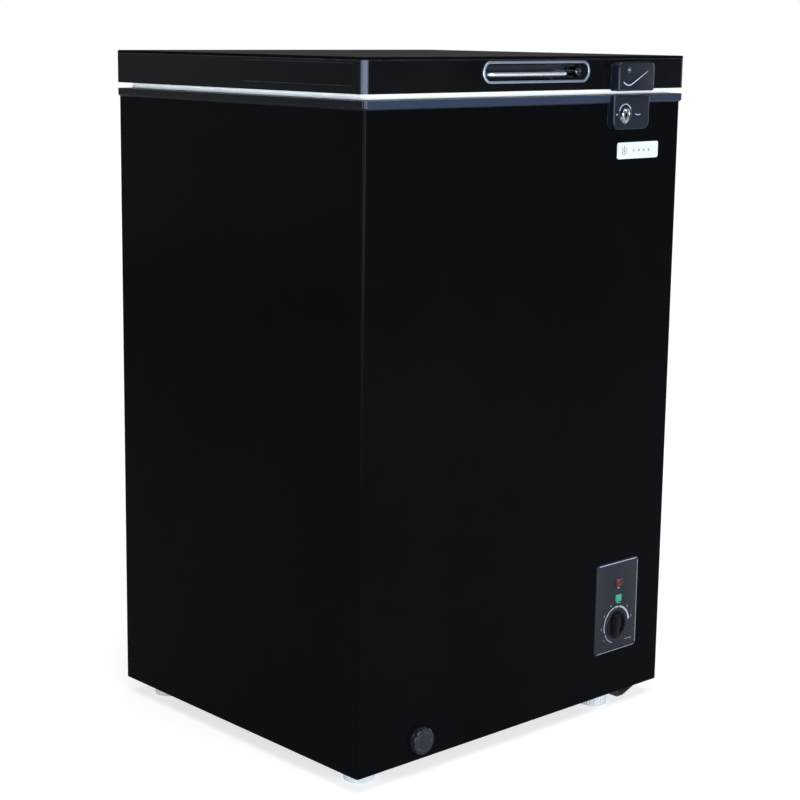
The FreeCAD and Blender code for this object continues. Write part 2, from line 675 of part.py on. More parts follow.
def make_lamp(name, level, height):
    face = mm("cabinet_depth") / 2 + mm("panel_proud")
    lens = rounded(f"{name}_dome", box(
        f"{name}_block", ("lamp_middle - lamp_width / 2", f"-{face + 1.6}", f"{level} - ({height}) / 2"),
        ("lamp_middle + lamp_width / 2", f"-{face}", f"{level} + ({height}) / 2")), 1.5,
        lambda edge: edge.BoundBox.YMin < -face - 0.1)
    body = box(f"{name}_body", ("lamp_middle - 4", f"-{face}", f"{level} - 3.5"),
               ("lamp_middle + 4", "-208", f"{level} + 3.5"))
    return fuse(name, lens, body)


keep("red_lamp", make_lamp("red_lamp", "red_level", "lamp_height"))
keep("green_lamp", make_lamp("green_lamp", "green_level", "lamp_height - 1"))

knob_face = 236
knob_disc = cylinder("knob_disc", ("knob_middle", "-226.8", "knob_level"), "-Y", "knob_radius", "6.2")
knob_ridge = rounded("knob_ridge", box(
    "knob_bar", ("knob_middle - 4", "-236", "knob_level - knob_radius + 1.5"),
    ("knob_middle + 4", "-232", "knob_level + knob_radius - 1.5")), 1.5,
    lambda edge: edge.BoundBox.YMax < -knob_face + 0.01)
keep("thermostat_knob", cut(
    "thermostat_knob", fuse("knob_solid", knob_disc, knob_ridge),
    cylinder("knob_bore", ("knob_middle", "-226", "knob_level"), "-Y", "shaft_radius + running_gap", "8")))

badge_plate = box("badge_plate", ("badge_left", "-cabinet_depth / 2 - 1.2", "badge_low"),
                  ("badge_right", "-cabinet_depth / 2", "badge_high"))
keep("badge", rounded("badge", badge_plate, 3, lambda edge: runs_along(edge, 1)))

# ---- lock: body with barrel and cam on the cabinet, keeper on the lid ----

lock_face = "-(cabinet_depth / 2 + lock_proud)"


def make_lock_body():
    block = box("lock_block", ("lock_left", lock_face, "lock_low"),
                ("lock_right", "-cabinet_depth / 2", "lock_high"))
    lower = rounded("lock_lower", block, 10,
                    lambda edge: runs_along(edge, 1) and at_level(edge, mm("lock_low")))
    eased = rounded("lock_eased", lower, 1.5,
                    lambda edge: edge.BoundBox.YMax < -mm("cabinet_depth") / 2 - mm("lock_proud") + 1e-3)
    rim_relief = box("lock_rim_relief", ("0", "-(cabinet_depth / 2 + rim_reach)", "cabinet_top - 0.1"),
                     ("300", "0", "900"))
    swing = box("lock_cam_room", ("barrel_middle - 13", "-238.2", "barrel_level - 9"),
                ("lock_right - 3.5", "-234", "lock_high + 10"))
    bore = cylinder("lock_bore", ("barrel_middle", "-200", "barrel_level"), "-Y",
                    "barrel_radius + running_gap", "60")
    dish = cylinder("lock_dish", ("barrel_middle", "-239.6", "barrel_level + 6"), "-Y", "12", "4")
    pivot = cylinder("lock_pivot_hole", ("barrel_middle", "-235", "cover_pivot"), "-Y",
                     "1.4 + running_gap", "12")
    shanks = [
        cylinder(f"lock_screw_hole_{i}", (x, "-234", level), "+Y", "screw_radius + 0.2", "20")
        for i, (x, level) in enumerate(LOCK_SCREWS)
    ]
    return cut("lock_body", eased, rim_relief, swing, bore, dish, pivot, *shanks)


keep("lock_body", make_lock_body())
keep("lock_screws", group("lock_screws", *[
    cylinder(f"lock_screw_{i}", (x, "-233.8", level), "+Y", "screw_radius", "16")
    for i, (x, level) in enumerate(LOCK_SCREWS)]))

barrel = cylinder("barrel", ("barrel_middle", "-231.2", "barrel_level"), "-Y", "barrel_radius", "9.6")
keyway = box("keyway", ("barrel_middle - 0.8", "-242", "barrel_level - 4"),
             ("barrel_middle + 0.8", "-236", "barrel_level + 4"))
keep("lock_barrel", cut("lock_barrel", barrel, keyway))

cam_arm = padded(
    "cam_arm", "XZ_Plane",
    [("barrel_middle - 6", "barrel_level - 4"), ("barrel_middle + cam_reach", "barrel_level - 4"),
     ("barrel_middle + cam_reach", "barrel_level + 8"),
     ("barrel_middle + cam_reach - 3.5", "barrel_level + 8"),
     ("barrel_middle + cam_reach - 3.5", "barrel_level + 4"), ("barrel_middle - 6", "barrel_level + 4")],
    "2", "235.6")
cam_hub = cylinder("cam_hub", ("barrel_middle", "-235.6", "barrel_level"), "-Y", "barrel_radius + 1.6", "2")
keep("lock_cam", cut(
    "lock_cam", fuse("cam_solid", cam_arm, cam_hub),
    cylinder("cam_bore", ("barrel_middle", "-200", "barrel_level"), "-Y", "barrel_radius", "60")))


def keyhole_cover_shape():
    """A drop with a round head and a point that hangs below it."""
    radius, length = 6.8, 11.5
    centre = FreeCAD.Vector(mm("barrel_middle"), 0, mm("cover_pivot") - 4)
    tip = centre - FreeCAD.Vector(0, 0, length)
    reach = math.asin(radius / length)
    touch = [
        centre + FreeCAD.Vector(side * radius * math.cos(reach), 0, -radius * math.sin(reach))
        for side in (-1, 1)
    ]
    crown = centre + FreeCAD.Vector(0, 0, radius)
    edges = [Part.LineSegment(tip, touch[0]).toShape(),
             Part.Arc(touch[0], crown, touch[1]).toShape(),
             Part.LineSegment(touch[1], tip).toShape()]
    face = Part.Face(Part.Wire(edges))
    face.translate(FreeCAD.Vector(0, -241.2, 0))
    return face.extrude(FreeCAD.Vector(0, -1.6, 0))


drop_plate = document.addObject("Part::Feature", "keyhole_drop")
drop_plate.Shape = keyhole_cover_shape()
drop_plate.Placement = FreeCAD.Placement()
keep("keyhole_cover", fuse("keyhole_cover", drop_plate, cylinder(
    "cover_rivet", ("barrel_middle", "-238.6", "cover_pivot"), "-Y", "1.4", "4.8")))


def make_lock_keeper():
    lid_front = "-lid_depth / 2"
    block = box("keeper_block", ("lock_left", "-(lid_depth / 2 + keeper_proud)", "keeper_low"),
                ("keeper_right", lid_front, "keeper_high"))
    upper = rounded("keeper_upper", block, 8,
                    lambda edge: runs_along(edge, 1) and at_level(edge, mm("keeper_high")))
    eased = rounded(
        "keeper_eased", upper, 1.5,
        lambda edge: edge.BoundBox.YMax < -mm("lid_depth") / 2 - mm("keeper_proud") + 1e-3)
    mouth = box("keeper_mouth", ("barrel_middle - 4.6", "-239", "keeper_low - 5"),
                ("keeper_right - 4", "-234", "keeper_high - 10"))
    catch_room = box("keeper_catch_room", ("lock_left + 4", "-239", "keeper_low + 2"),
                     ("barrel_middle", "-234", "keeper_high - 10"))
    return cut("lock_keeper", eased, mouth, catch_room)


keep("lock_keeper", make_lock_keeper())


# ---- lid: moulded frame with side scoops, top sheet, foam, inner panel and gasket ----

def lid_block(name, inset, low, high):
    return box(name, (f"-(lid_width / 2 - {inset})", f"-(lid_depth / 2 - {inset})", low),
               (f"lid_width / 2 - {inset}", f"lid_depth / 2 - {inset}", high))


def handle_form(name, grow, near, far):
    """The handle's stadium outline between two depths behind the lid's front face."""
    half = f"(handle_height / 2 + {grow})"
    reach = "(handle_length - handle_height) / 2"
    y_near = f"-lid_depth / 2 + {near}"
    middle = box(f"{name}_middle", (f"-{reach}", y_near, f"handle_level - {half}"),
                 (reach, f"-lid_depth / 2 + {far}", f"handle_level + {half}"))
    caps = [
        cylinder(f"{name}_cap_{i}", (f"{sign}{reach}", y_near, "handle_level"), "+Y", half,
                 f"{far} - ({near})") for i, sign in enumerate(("-", ""))
    ]
    return fuse(name, middle, *caps)


def scoop_cutter(name):
    face = "lid_width / 2"
    return padded(
        name, "XY_Plane",
        [(f"-({face} + 4)", "scoop_back"), (f"-{face}", "scoop_back"),
         (f"-({face} - scoop_reach)", "scoop_front + 8"), (f"-({face} + 4)", "scoop_front - 4")],
        "scoop_high - scoop_low", "scoop_low")


def scoop_backing(name):
    return box(name, ("-(lid_width / 2 - 1)", "scoop_front - 3", "scoop_low - 2.5"),
               ("-(lid_width / 2 - scoop_reach - 2.5)", "scoop_back", "seam_level"))


def make_lid_frame():
    shell = rounded("frame_shell", lid_block("frame_block", "0", "lid_bottom", "seam_level"),
                    "lid_corner", upright)
    hollow = rounded("frame_hollow", lid_block("frame_room", "lid_wall", "lid_bottom + 2", "lid_top"),
                     mm("lid_corner") - mm("lid_wall"), upright)
    opening = rim_block("frame_opening", "flange_opening_width", "flange_opening_depth",
                        "lid_bottom - 1", "lid_bottom + 5")
    backings = [scoop_backing("scoop_backing_left")]
    backings.append(mirrored("scoop_backing_right", backings[0]))
    cutters = [scoop_cutter("scoop_left")]
    cutters.append(mirrored("scoop_right", cutters[0]))
    walls = fuse("frame_walls", cut("frame_ring", shell, hollow, opening), *backings)
    return cut("lid_frame", walls, handle_form("frame_handle_hole", "-bezel_edge", "-5", "10"), *cutters)


keep("lid_frame", make_lid_frame())


def make_lid_top():
    corners = rounded("top_corners", lid_block("top_block", "0", "seam_level", "lid_top"),
                      "lid_corner", upright)
    eased = rounded("top_eased", corners, 1.8, lambda edge: at_level(edge, mm("lid_top")))
    return cut("lid_top_panel", eased, rounded(
        "top_hollow", lid_block("top_room", "1.2", "seam_level - 1", "lid_top - sheet_gauge"),
        mm("lid_corner") - 1.2, upright))


keep("lid_top_panel", make_lid_top())

foam_core = fuse(
    "lid_foam_core", lid_block("lid_foam_block", "lid_wall", "lid_bottom + 2", "lid_top - sheet_gauge"),
    rim_block("lid_foam_plug", "flange_opening_width", "flange_opening_depth", "lid_bottom",
              "lid_bottom + 3"))
lid_cup_room = handle_form("lid_cup_room", "-bezel_edge", "0", "handle_pocket + 2")
lid_foam_scoop = scoop_backing("lid_foam_scoop")
keep("lid_foam", cut(
    "lid_foam",
    rounded("lid_foam_corners", foam_core, mm("lid_corner") - mm("lid_wall"),
            lambda edge: upright(edge) and abs(abs(ends(edge)[0].x) - 270) < 0.01),
    rim_block("lid_foam_pan", "pan_width", "pan_depth", "lid_bottom - 1", "lid_bottom + pan_rise"),
    lid_cup_room, lid_foam_scoop, mirrored("lid_foam_scoop_right", lid_foam_scoop)))

panel_form = fuse(
    "panel_form", rim_block("panel_flange", "panel_width", "panel_depth", "lid_bottom - 1", "lid_bottom"),
    rim_block("panel_pan", "pan_width", "pan_depth", "lid_bottom - 1", "lid_bottom + pan_rise"))
keep("lid_inner_panel", cut(
    "lid_inner_panel", panel_form,
    rim_block("panel_hollow", "pan_width - 2", "pan_depth - 2", "lid_bottom - 2",
              "lid_bottom + pan_rise - 1")))

gasket_outer = rounded("gasket_outer", rim_block(
    "gasket_block", "gasket_width", "gasket_depth", "gasket_bottom", "lid_bottom"), 8, upright)
keep("lid_gasket", cut("lid_gasket", gasket_outer, rim_block(
    "gasket_hole", "gasket_width - 2 * gasket_section", "gasket_depth - 2 * gasket_section",
    "gasket_bottom - 1", "lid_bottom + 1")))

# ---- handle: chromed bezel, cup behind it, grip bar and rosette ----

cup_room = handle_form("cup_room", "-bezel_edge - bezel_wall", "-bezel_proud - 2", "handle_pocket")
keep("handle_bezel", cut("handle_bezel", handle_form("bezel_lip", "0", "-bezel_proud", "0"), cup_room))
keep("handle_cup", cut(
    "handle_cup", handle_form("cup_outside", "-bezel_edge", "0", "handle_pocket + 2"), cup_room))
grip_bar = cylinder("grip_bar", ("grip_left", "-lid_depth / 2 + 4", "grip_level"), "+X", "grip_radius",
                    "grip_right - grip_left")
grip_posts = [
    cylinder(f"grip_post_{i}", (x, "-lid_depth / 2 + 4", "grip_level"), "+Y", "grip_radius - 0.4",
             "handle_pocket - 4")
    for i, x in enumerate(("grip_left + 5", "grip_right - 5"))
]
keep("handle_grip", fuse("handle_grip", grip_bar, *grip_posts))
keep("handle_rosette", rounded("handle_rosette", cylinder(
    "rosette_disc", ("rosette_middle", "-lid_depth / 2 + 3", "handle_level"), "+Y", "rosette_radius",
    "handle_pocket - 3"), 1, lambda edge: edge.BoundBox.YMax < -mm("lid_depth") / 2 + 3.1))


# ---- hinges: bracket on the cabinet, leaf on the lid, one pin each side ----

def make_bracket():
    inside, outside = "hinge_inside", "hinge_inside + hinge_width"
    spacer = box("bracket_spacer", (inside, "cabinet_depth / 2", "hinge_low"),
                 (outside, "cabinet_depth / 2 + 3", "cabinet_top - 2"))
    plate = box("bracket_plate", (inside, "cabinet_depth / 2 + 3", "hinge_low"),
                (outside, "cabinet_depth / 2 + 5", "pin_level - knuckle_radius - 1.5"))
    ears = [
        box(f"bracket_ear_{i}", (x, "cabinet_depth / 2 + 3.5", "hinge_low"),
            (f"{x} + 10", "pin_y", "pin_level"))
        for i, x in enumerate((inside, "hinge_inside + hinge_width - 10"))
    ]
    knuckles = [
        cylinder(f"bracket_knuckle_{i}", (x, "pin_y", "pin_level"), "+X", "knuckle_radius", "10")
        for i, x in enumerate((inside, "hinge_inside + hinge_width - 10"))
    ]
    bore = cylinder("bracket_bore", (f"{inside} - 5", "pin_y", "pin_level"), "+X", "pin_radius", "60")
    holes = [
        cylinder(f"bracket_hole_{i}", (x, "200", level), "+Y", "screw_radius + 0.2", "60")
        for i, (x, level) in enumerate(BRACKET_SCREWS[:2])
    ]
    heads = [
        cylinder(f"bracket_head_{i}", (x, "cabinet_depth / 2 + 2", level), "+Y", "screw_radius * 2.2", "60")
        for i, (x, level) in enumerate(BRACKET_SCREWS[:2])
    ]
    return cut("hinge_bracket_right", fuse("bracket_solid", spacer, plate, *ears, *knuckles),
               bore, *holes, *heads)


def make_leaf():
    lid_back = "lid_depth / 2"
    start, end = "hinge_inside + 10.4", "hinge_inside + hinge_width - 10.4"
    plate = rounded("leaf_corners", box(
        "leaf_plate", ("hinge_inside", lid_back, "pin_level + 7.5"),
        ("hinge_inside + hinge_width", lid_back + " + 2", "lid_top - 6")), 4,
        lambda edge: runs_along(edge, 1) and at_level(edge, mm("lid_top") - 6))
    tongue = box("leaf_tongue", (start, lid_back + " + 0.6", "pin_level - 2"),
                 (end, "pin_y", "pin_level + 9"))
    knuckle = cylinder("leaf_knuckle", (start, "pin_y", "pin_level"), "+X", "knuckle_radius",
                       f"({end}) - ({start})")
    bore = cylinder("leaf_bore", ("hinge_inside - 5", "pin_y", "pin_level"), "+X",
                    "pin_radius + running_gap", "60")
    return cut("hinge_leaf_right", fuse("leaf_solid", plate, tongue, knuckle), bore)


bracket = keep("hinge_bracket_right", make_bracket())
keep("hinge_bracket_left", mirrored("hinge_bracket_left", bracket))
leaf = keep("hinge_leaf_right", make_leaf())
keep("hinge_leaf_left", mirrored("hinge_leaf_left", leaf))
pin = fuse(
    "pin_right",
    cylinder("pin_rod", ("hinge_inside - 1", "pin_y", "pin_level"), "+X", "pin_radius", "hinge_width + 2"),
    cylinder("pin_head", ("hinge_inside + hinge_width", "pin_y", "pin_level"), "+X", "pin_radius + 1.5", "2"))
keep("hinge_pins", group("hinge_pins", pin, mirrored("pin_left", pin)))

# ---- vents, gland and the screws of the back ----


def slots(name, low, high, count, pitch):
    """Level slots stacked upwards; low and high are the first slot's corners."""
    return [
        box(f"{name}_{i}", (low[0], low[1], f"{low[2]} + {i} * {pitch}"),
            (high[0], high[1], f"{high[2]} + {i} * {pitch}")) for i in range(count)
    ]


grille_plate = rounded("grille_plate", box("grille_face", ("cabinet_width / 2", "20", "60"),
                                           ("cabinet_width / 2 + 2", "170", "190")),
                       5, lambda edge: runs_along(edge, 0))
grille_neck = box("grille_neck", ("cabinet_width / 2 - 5", "27", "67"), ("cabinet_width / 2", "163", "183"))
keep("side_grille", cut(
    "side_grille", fuse("grille_solid", grille_plate, grille_neck),
    *slots("grille_slot", ("200", "32", "74"), ("300", "158", "80"), 9, 12)))

cover_plate = rounded("cover_plate", box("cover_sheet", ("80", "cabinet_depth / 2", "30"),
                                         ("264", "cabinet_depth / 2 + 2", "226")),
                      6, lambda edge: runs_along(edge, 1))
keep("rear_cover", cut(
    "rear_cover", cover_plate,
    *slots("cover_slot_left", ("102", "200", "92"), ("166", "300", "97"), 9, 13),
    *slots("cover_slot_right", ("178", "200", "92"), ("242", "300", "97"), 9, 13),
    cylinder("cover_gland_hole", ("232", "200", "60"), "+Y", "8", "60"),
    *screw_holes("cover_hole", COVER_SCREWS, "200", "300")))

gland = fuse(
    "gland_solid", cylinder("gland_neck", ("232", "cabinet_depth / 2 - 4", "60"), "+Y", "8", "12"),
    cylinder("gland_flange", ("232", BACK_FACE, "60"), "+Y", "11", "3"))
keep("cord_gland", cut("cord_gland", gland, cylinder("gland_bore", ("232", "200", "60"), "+Y", "3.8", "60")))

keep("cabinet_screws", group("cabinet_screws", *[
    pan_screw(f"cabinet_screw_{i}", x, BACK_FACE, level, "+Y")
    for i, (x, level) in enumerate(COVER_SCREWS + BRACKET_SCREWS)]))


# ---- levelling feet and their nuts ----

def make_foot(corner, x, y):
    puck = cylinder(f"{corner}_puck", (x, y, "0"), "+Z", "foot_radius", "foot_height")
    disc = rounded(f"{corner}_disc", puck, 1.5,
                   lambda edge: edge.Curve.TypeId == "Part::GeomCircle")
    hub = document.addObject("Part::Cone", f"{corner}_hub")
    place(hub, (x, y, "foot_height"))
    hub.setExpression("Radius1", bound("foot_radius - 5"))
    hub.setExpression("Radius2", bound("foot_radius - 8"))
    hub.setExpression("Height", bound("cabinet_bottom - foot_height - 0.6"))
    stud = cylinder(f"{corner}_stud", (x, y, "foot_height"), "+Z", "stud_radius", "stud_top - foot_height")
    knurl = []
    for i in range(24):
        angle = math.tau * i / 24
        across = f"{x} + {math.cos(angle):.4f} * (foot_radius + 0.6)"
        along = f"{y} + {math.sin(angle):.4f} * (foot_radius + 0.6)"
        knurl.append(cylinder(f"{corner}_flute_{i}", (across, along, "2.5"), "+Z", "1.3", "foot_height - 5"))
    return cut(f"foot_{corner}", fuse(f"{corner}_solid", disc, hub, stud), *knurl)


for corner, (x, y) in FEET.items():
    keep(f"foot_{corner}", make_foot(corner, x, y))

keep("foot_nuts", group("foot_nuts", *[
    cut(f"nut_{corner}",
        hexagon(f"nut_hex_{corner}", (x, y, BASE_TOP if corner.endswith("right")
                                      else "cabinet_bottom + sheet_gauge"), "+Z", "13", "6.5"),
        cylinder(f"nut_bore_{corner}", (x, y, "0"), "+Z", "stud_radius + running_gap", "60"))
    for corner, (x, y) in FEET.items()]))


# ---- wire basket hung across the opening ----

def make_basket():
    left, right = mm("basket_left"), mm("basket_right")
    half, low, high = mm("basket_half_depth"), mm("basket_low"), mm("basket_high")
    wires = []
    loops = [(low + 2, 8), (low + 52, 3), (low + 102, 1), (high, -1)]
    for i, (level, inset) in enumerate(loops):
        corners = [(left + inset, -half + inset, level), (right - inset, -half + inset, level),
                   (right - inset, half - inset, level), (left + inset, half - inset, level)]
        wires.append(tube(f"basket_loop_{i}", corners, "basket_wire", 14, closed=True))
    for i in range(6):
        x = left + 20 + i * (right - left - 40) / 5
        wires.append(tube(f"basket_hoop_{i}", [
            (x, -half + 0.5, high), (x, -half + 7.5, low), (x, half - 7.5, low), (x, half - 0.5, high)],
            "basket_wire", 10))
    for i in range(7):
        y = (i - 3) * 42
        wires.append(tube(f"basket_rib_{i}", [
            (left - 0.5, y, high), (left + 7.5, y, low), (right - 7.5, y, low), (right + 0.5, y, high)],
            "basket_wire", 10))
    rest = mm("rim_top") + mm("basket_wire") + 0.4
    for i, side in enumerate((-1, 1)):
        reach = side * 196
        wires.append(tube(f"basket_hanger_{i}", [
            (left + 26, side * (half + 0.5), high - 1), (left + 26, side * (half + 4), rest),
            (left + 26, reach, rest), (right - 26, reach, rest),
            (right - 26, side * (half + 4), rest), (right - 26, side * (half + 0.5), high - 1)],
            "basket_wire", 7))
    return fuse("wire_basket", *wires)


keep("wire_basket", make_basket())

# ---- check the document, then write one file for each piece ----

document.recompute()
for thing in document.Objects:
    if "Invalid" in thing.State or "Error" in thing.State:
        raise RuntimeError(f"{thing.Label} failed: {thing.State}")
os.makedirs("parts", exist_ok=True)
for name, thing in nodes.items():
    shape = thing.Shape
    if shape.isNull() or not shape.isValid() or not shape.Solids:
        raise RuntimeError(f"{name} has no valid solid")
    shape.exportStep(f"parts/{name}.step")
    print(f"{name}: {len(shape.Solids)} solid(s), {shape.Volume / 1000:.1f} cm3")
print(f"{len(nodes)} nodes")
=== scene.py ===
import math

import bmesh
import bpy
from mathutils import Matrix, Vector


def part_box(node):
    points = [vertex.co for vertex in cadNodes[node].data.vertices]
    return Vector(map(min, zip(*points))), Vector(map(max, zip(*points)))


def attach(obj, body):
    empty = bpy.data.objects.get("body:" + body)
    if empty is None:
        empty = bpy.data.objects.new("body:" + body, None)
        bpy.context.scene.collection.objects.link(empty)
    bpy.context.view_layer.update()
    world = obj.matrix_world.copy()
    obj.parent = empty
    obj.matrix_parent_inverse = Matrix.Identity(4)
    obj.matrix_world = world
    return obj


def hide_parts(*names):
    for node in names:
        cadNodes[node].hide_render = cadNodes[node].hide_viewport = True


# A small black chest freezer. Metres, +Z up, the front looks along -Y, the floor is at z = 0.

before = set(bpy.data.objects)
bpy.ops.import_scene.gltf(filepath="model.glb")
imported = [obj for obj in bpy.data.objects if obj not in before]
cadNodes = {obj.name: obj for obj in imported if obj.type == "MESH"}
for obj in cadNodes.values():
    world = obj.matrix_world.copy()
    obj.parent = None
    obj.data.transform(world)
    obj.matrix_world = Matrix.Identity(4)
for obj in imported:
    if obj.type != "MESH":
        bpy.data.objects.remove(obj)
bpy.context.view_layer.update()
mm = 0.001
print("frame loaded:", len(cadNodes), "nodes")


# working habits: picking, selecting, finishing

def startFresh():
    if bpy.context.mode != "OBJECT":
        bpy.ops.object.mode_set(mode="OBJECT")
    bpy.ops.object.select_all(action="DESELECT")


def settle(name):
    # the primitive just added gets its name, and its place goes into its mesh
    piece = bpy.context.object
    piece.name = name
    piece.data.name = name
    bpy.ops.object.transform_apply(location=True, rotation=True, scale=True)
    return piece


def addBlock(name, low, high):
    startFresh()
    low, high = Vector(low), Vector(high)
    bpy.ops.mesh.primitive_cube_add(size=1, location=(low + high) / 2)
    bpy.context.object.scale = high - low
    return settle(name)


def addDisc(name, centre, radius, near, far, sides=64):
    # a round bar that runs front to back, from depth near to depth far
    startFresh()
    bpy.ops.mesh.primitive_cylinder_add(
        vertices=sides, radius=radius, depth=far - near,
        location=(centre[0], (near + far) / 2, centre[1]), rotation=(math.pi / 2, 0, 0))
    return settle(name)


def edit(piece):
    startFresh()
    piece.select_set(True)
    bpy.context.view_layer.objects.active = piece
    bpy.ops.object.mode_set(mode="EDIT")
    bpy.ops.mesh.select_all(action="SELECT")


def pick(kind, test):
    bpy.ops.mesh.select_mode(type={"verts": "VERT", "edges": "EDGE", "faces": "FACE"}[kind])
    bpy.ops.mesh.select_all(action="DESELECT")
    mesh = bmesh.from_edit_mesh(bpy.context.object.data)
    for part in getattr(mesh, kind):
        if test(part):
            part.select_set(True)
    mesh.select_flush_mode()
    bmesh.update_edit_mesh(bpy.context.object.data)


def facing(direction, least=0.9995):
    return lambda face: face.normal.dot(Vector(direction)) > least


forward = facing((0, -1, 0))


def middleOf(edge):
    return (edge.verts[0].co + edge.verts[1].co) / 2


def runsAlong(edge, axis):
    along = (edge.verts[1].co - edge.verts[0].co).normalized()
    return abs(along[axis]) > 0.999


def atDepth(edge, depth):
    return all(abs(corner.co.y - depth) < 1e-5 for corner in edge.verts)


def bevelPicked(width, steps):
    bpy.ops.mesh.bevel(offset=width, segments=steps, affect="EDGES", profile=0.5)


def bevelAt(depth, width, steps):
    # rounds every edge that lies at one depth
    pick("edges", lambda edge: atDepth(edge, depth))
    bevelPicked(width, steps)


def sinkFront(rim, depth):
    # sets the front face back behind a rim of its own
    pick("faces", forward)
    bpy.ops.mesh.inset(thickness=rim, depth=0)
    push(y=depth)


def move(x=0.0, y=0.0, z=0.0):
    bpy.ops.transform.translate(value=(x, y, z))


def push(x=0.0, y=0.0, z=0.0):
    bpy.ops.mesh.extrude_region_move(TRANSFORM_OT_translate={"value": (x, y, z)})


def tidyMesh():
    bpy.ops.mesh.select_all(action="SELECT")
    bpy.ops.mesh.remove_doubles(threshold=1e-6)
    bpy.ops.mesh.normals_make_consistent(inside=False)
    bpy.ops.object.mode_set(mode="OBJECT")


def combine(piece, tool, operation):
    # the tool piece is joined to or taken from the piece, and then thrown away
    startFresh()
    piece.select_set(True)
    bpy.context.view_layer.objects.active = piece
    joint = piece.modifiers.new("combine", "BOOLEAN")
    joint.operation = operation
    joint.object = tool
    joint.solver = "EXACT"
    bpy.ops.object.modifier_apply(modifier=joint.name)
    bpy.data.objects.remove(tool)
    return piece


def cutAway(piece, tool):
    return combine(piece, tool, "DIFFERENCE")


def softenEdges(piece, width, steps=2, angle=40):
    startFresh()
    piece.select_set(True)
    bpy.context.view_layer.objects.active = piece
    soft = piece.modifiers.new("soften", "BEVEL")
    soft.width = width
    soft.segments = steps
    soft.limit_method = "ANGLE"
    soft.angle_limit = math.radians(angle)
    soft.harden_normals = False
    bpy.ops.object.modifier_apply(modifier=soft.name)


def copyTurned(piece, angle, centre):
    # a copy with its own mesh, turned about the front-to-back line through centre
    twin = piece.copy()
    twin.data = piece.data.copy()
    bpy.context.collection.objects.link(twin)
    about = Vector((centre[0], 0, centre[1]))
    twin.data.transform(
        Matrix.Translation(about) @ Matrix.Rotation(angle, 4, "Y") @ Matrix.Translation(-about))
    return twin


def joinAll(pieces):
    startFresh()
    for piece in pieces:
        piece.select_set(True)
    bpy.context.view_layer.objects.active = pieces[0]
    bpy.ops.object.join()
    return pieces[0]


def finishPiece(piece, body, material, replaced=(), smooth=35):
    startFresh()
    piece.select_set(True)
    bpy.context.view_layer.objects.active = piece
    bpy.ops.object.shade_smooth_by_angle(angle=math.radians(smooth))
    piece.data.materials.clear()
    piece.data.materials.append(material)
    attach(piece, body)
    if replaced:
        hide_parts(*replaced)
    return piece


# node helpers

def addNode(tree, kind, settings=None, inputs=None):
    node = tree.nodes.new(kind)
    for key, value in (settings or {}).items():
        setattr(node, key, value)
    for key, value in (inputs or {}).items():
        if isinstance(value, bpy.types.NodeSocket):
            tree.links.new(value, node.inputs[key])
        else:
            node.inputs[key].default_value = value
    return node


def calc(tree, operation, *values):
    node = addNode(tree, "ShaderNodeMath", {"operation": operation}, dict(enumerate(values)))
    return node.outputs[0]


def blendColours(tree, factor, first, second, way="MIX"):
    node = addNode(tree, "ShaderNodeMix", {"data_type": "RGBA", "blend_type": way},
                   {0: factor, 6: first, 7: second})
    return node.outputs[2]


def remap(tree, value, fromLow, fromHigh, toLow, toHigh):
    node = addNode(tree, "ShaderNodeMapRange", None,
                   {"Value": value, "From Min": fromLow, "From Max": fromHigh,
                    "To Min": toLow, "To Max": toHigh})
    return node.outputs[0]


def noise(tree, vector, scale, detail=3.0, roughness=0.55):
    node = addNode(tree, "ShaderNodeTexNoise", None,
                   {"Vector": vector, "Scale": scale, "Detail": detail, "Roughness": roughness})
    return node.outputs[0]


def startGroup(name, takes, gives):
    group = bpy.data.node_groups.new(name, "ShaderNodeTree")
    for label, kind in takes.items():
        group.interface.new_socket(label, in_out="INPUT", socket_type="NodeSocket" + kind)
    for label, kind in gives.items():
        group.interface.new_socket(label, in_out="OUTPUT", socket_type="NodeSocket" + kind)
    return group, group.nodes.new("NodeGroupInput").outputs, group.nodes.new("NodeGroupOutput").inputs


def placeGroup(tree, group, inputs):
    return addNode(tree, "ShaderNodeGroup", {"node_tree": group}, inputs).outputs


# shared effects

def makePatchyTone():
    # two close tones in soft patches, and a roughness that drifts with them
    group, taken, given = startGroup(
        "patchyTone",
        {"Place": "Vector", "Tone": "Color", "Other Tone": "Color", "Patches": "Float",
         "Roughness": "Float", "Drift": "Float"},
        {"Colour": "Color", "Roughness": "Float"})
    broad = noise(group, taken["Place"], taken["Patches"], 4.0)
    fine = noise(group, taken["Place"], calc(group, "MULTIPLY", taken["Patches"], 9.0), 3.0)
    both = calc(group, "ADD", calc(group, "MULTIPLY", broad, 0.7), calc(group, "MULTIPLY", fine, 0.3))
    share = remap(group, both, 0.36, 0.64, 0.0, 1.0)
    group.links.new(blendColours(group, share, taken["Tone"], taken["Other Tone"]), given["Colour"])
    drift = calc(group, "MULTIPLY", calc(group, "SUBTRACT", both, 0.5), taken["Drift"])
    group.links.new(calc(group, "ADD", taken["Roughness"], drift), given["Roughness"])
    return group


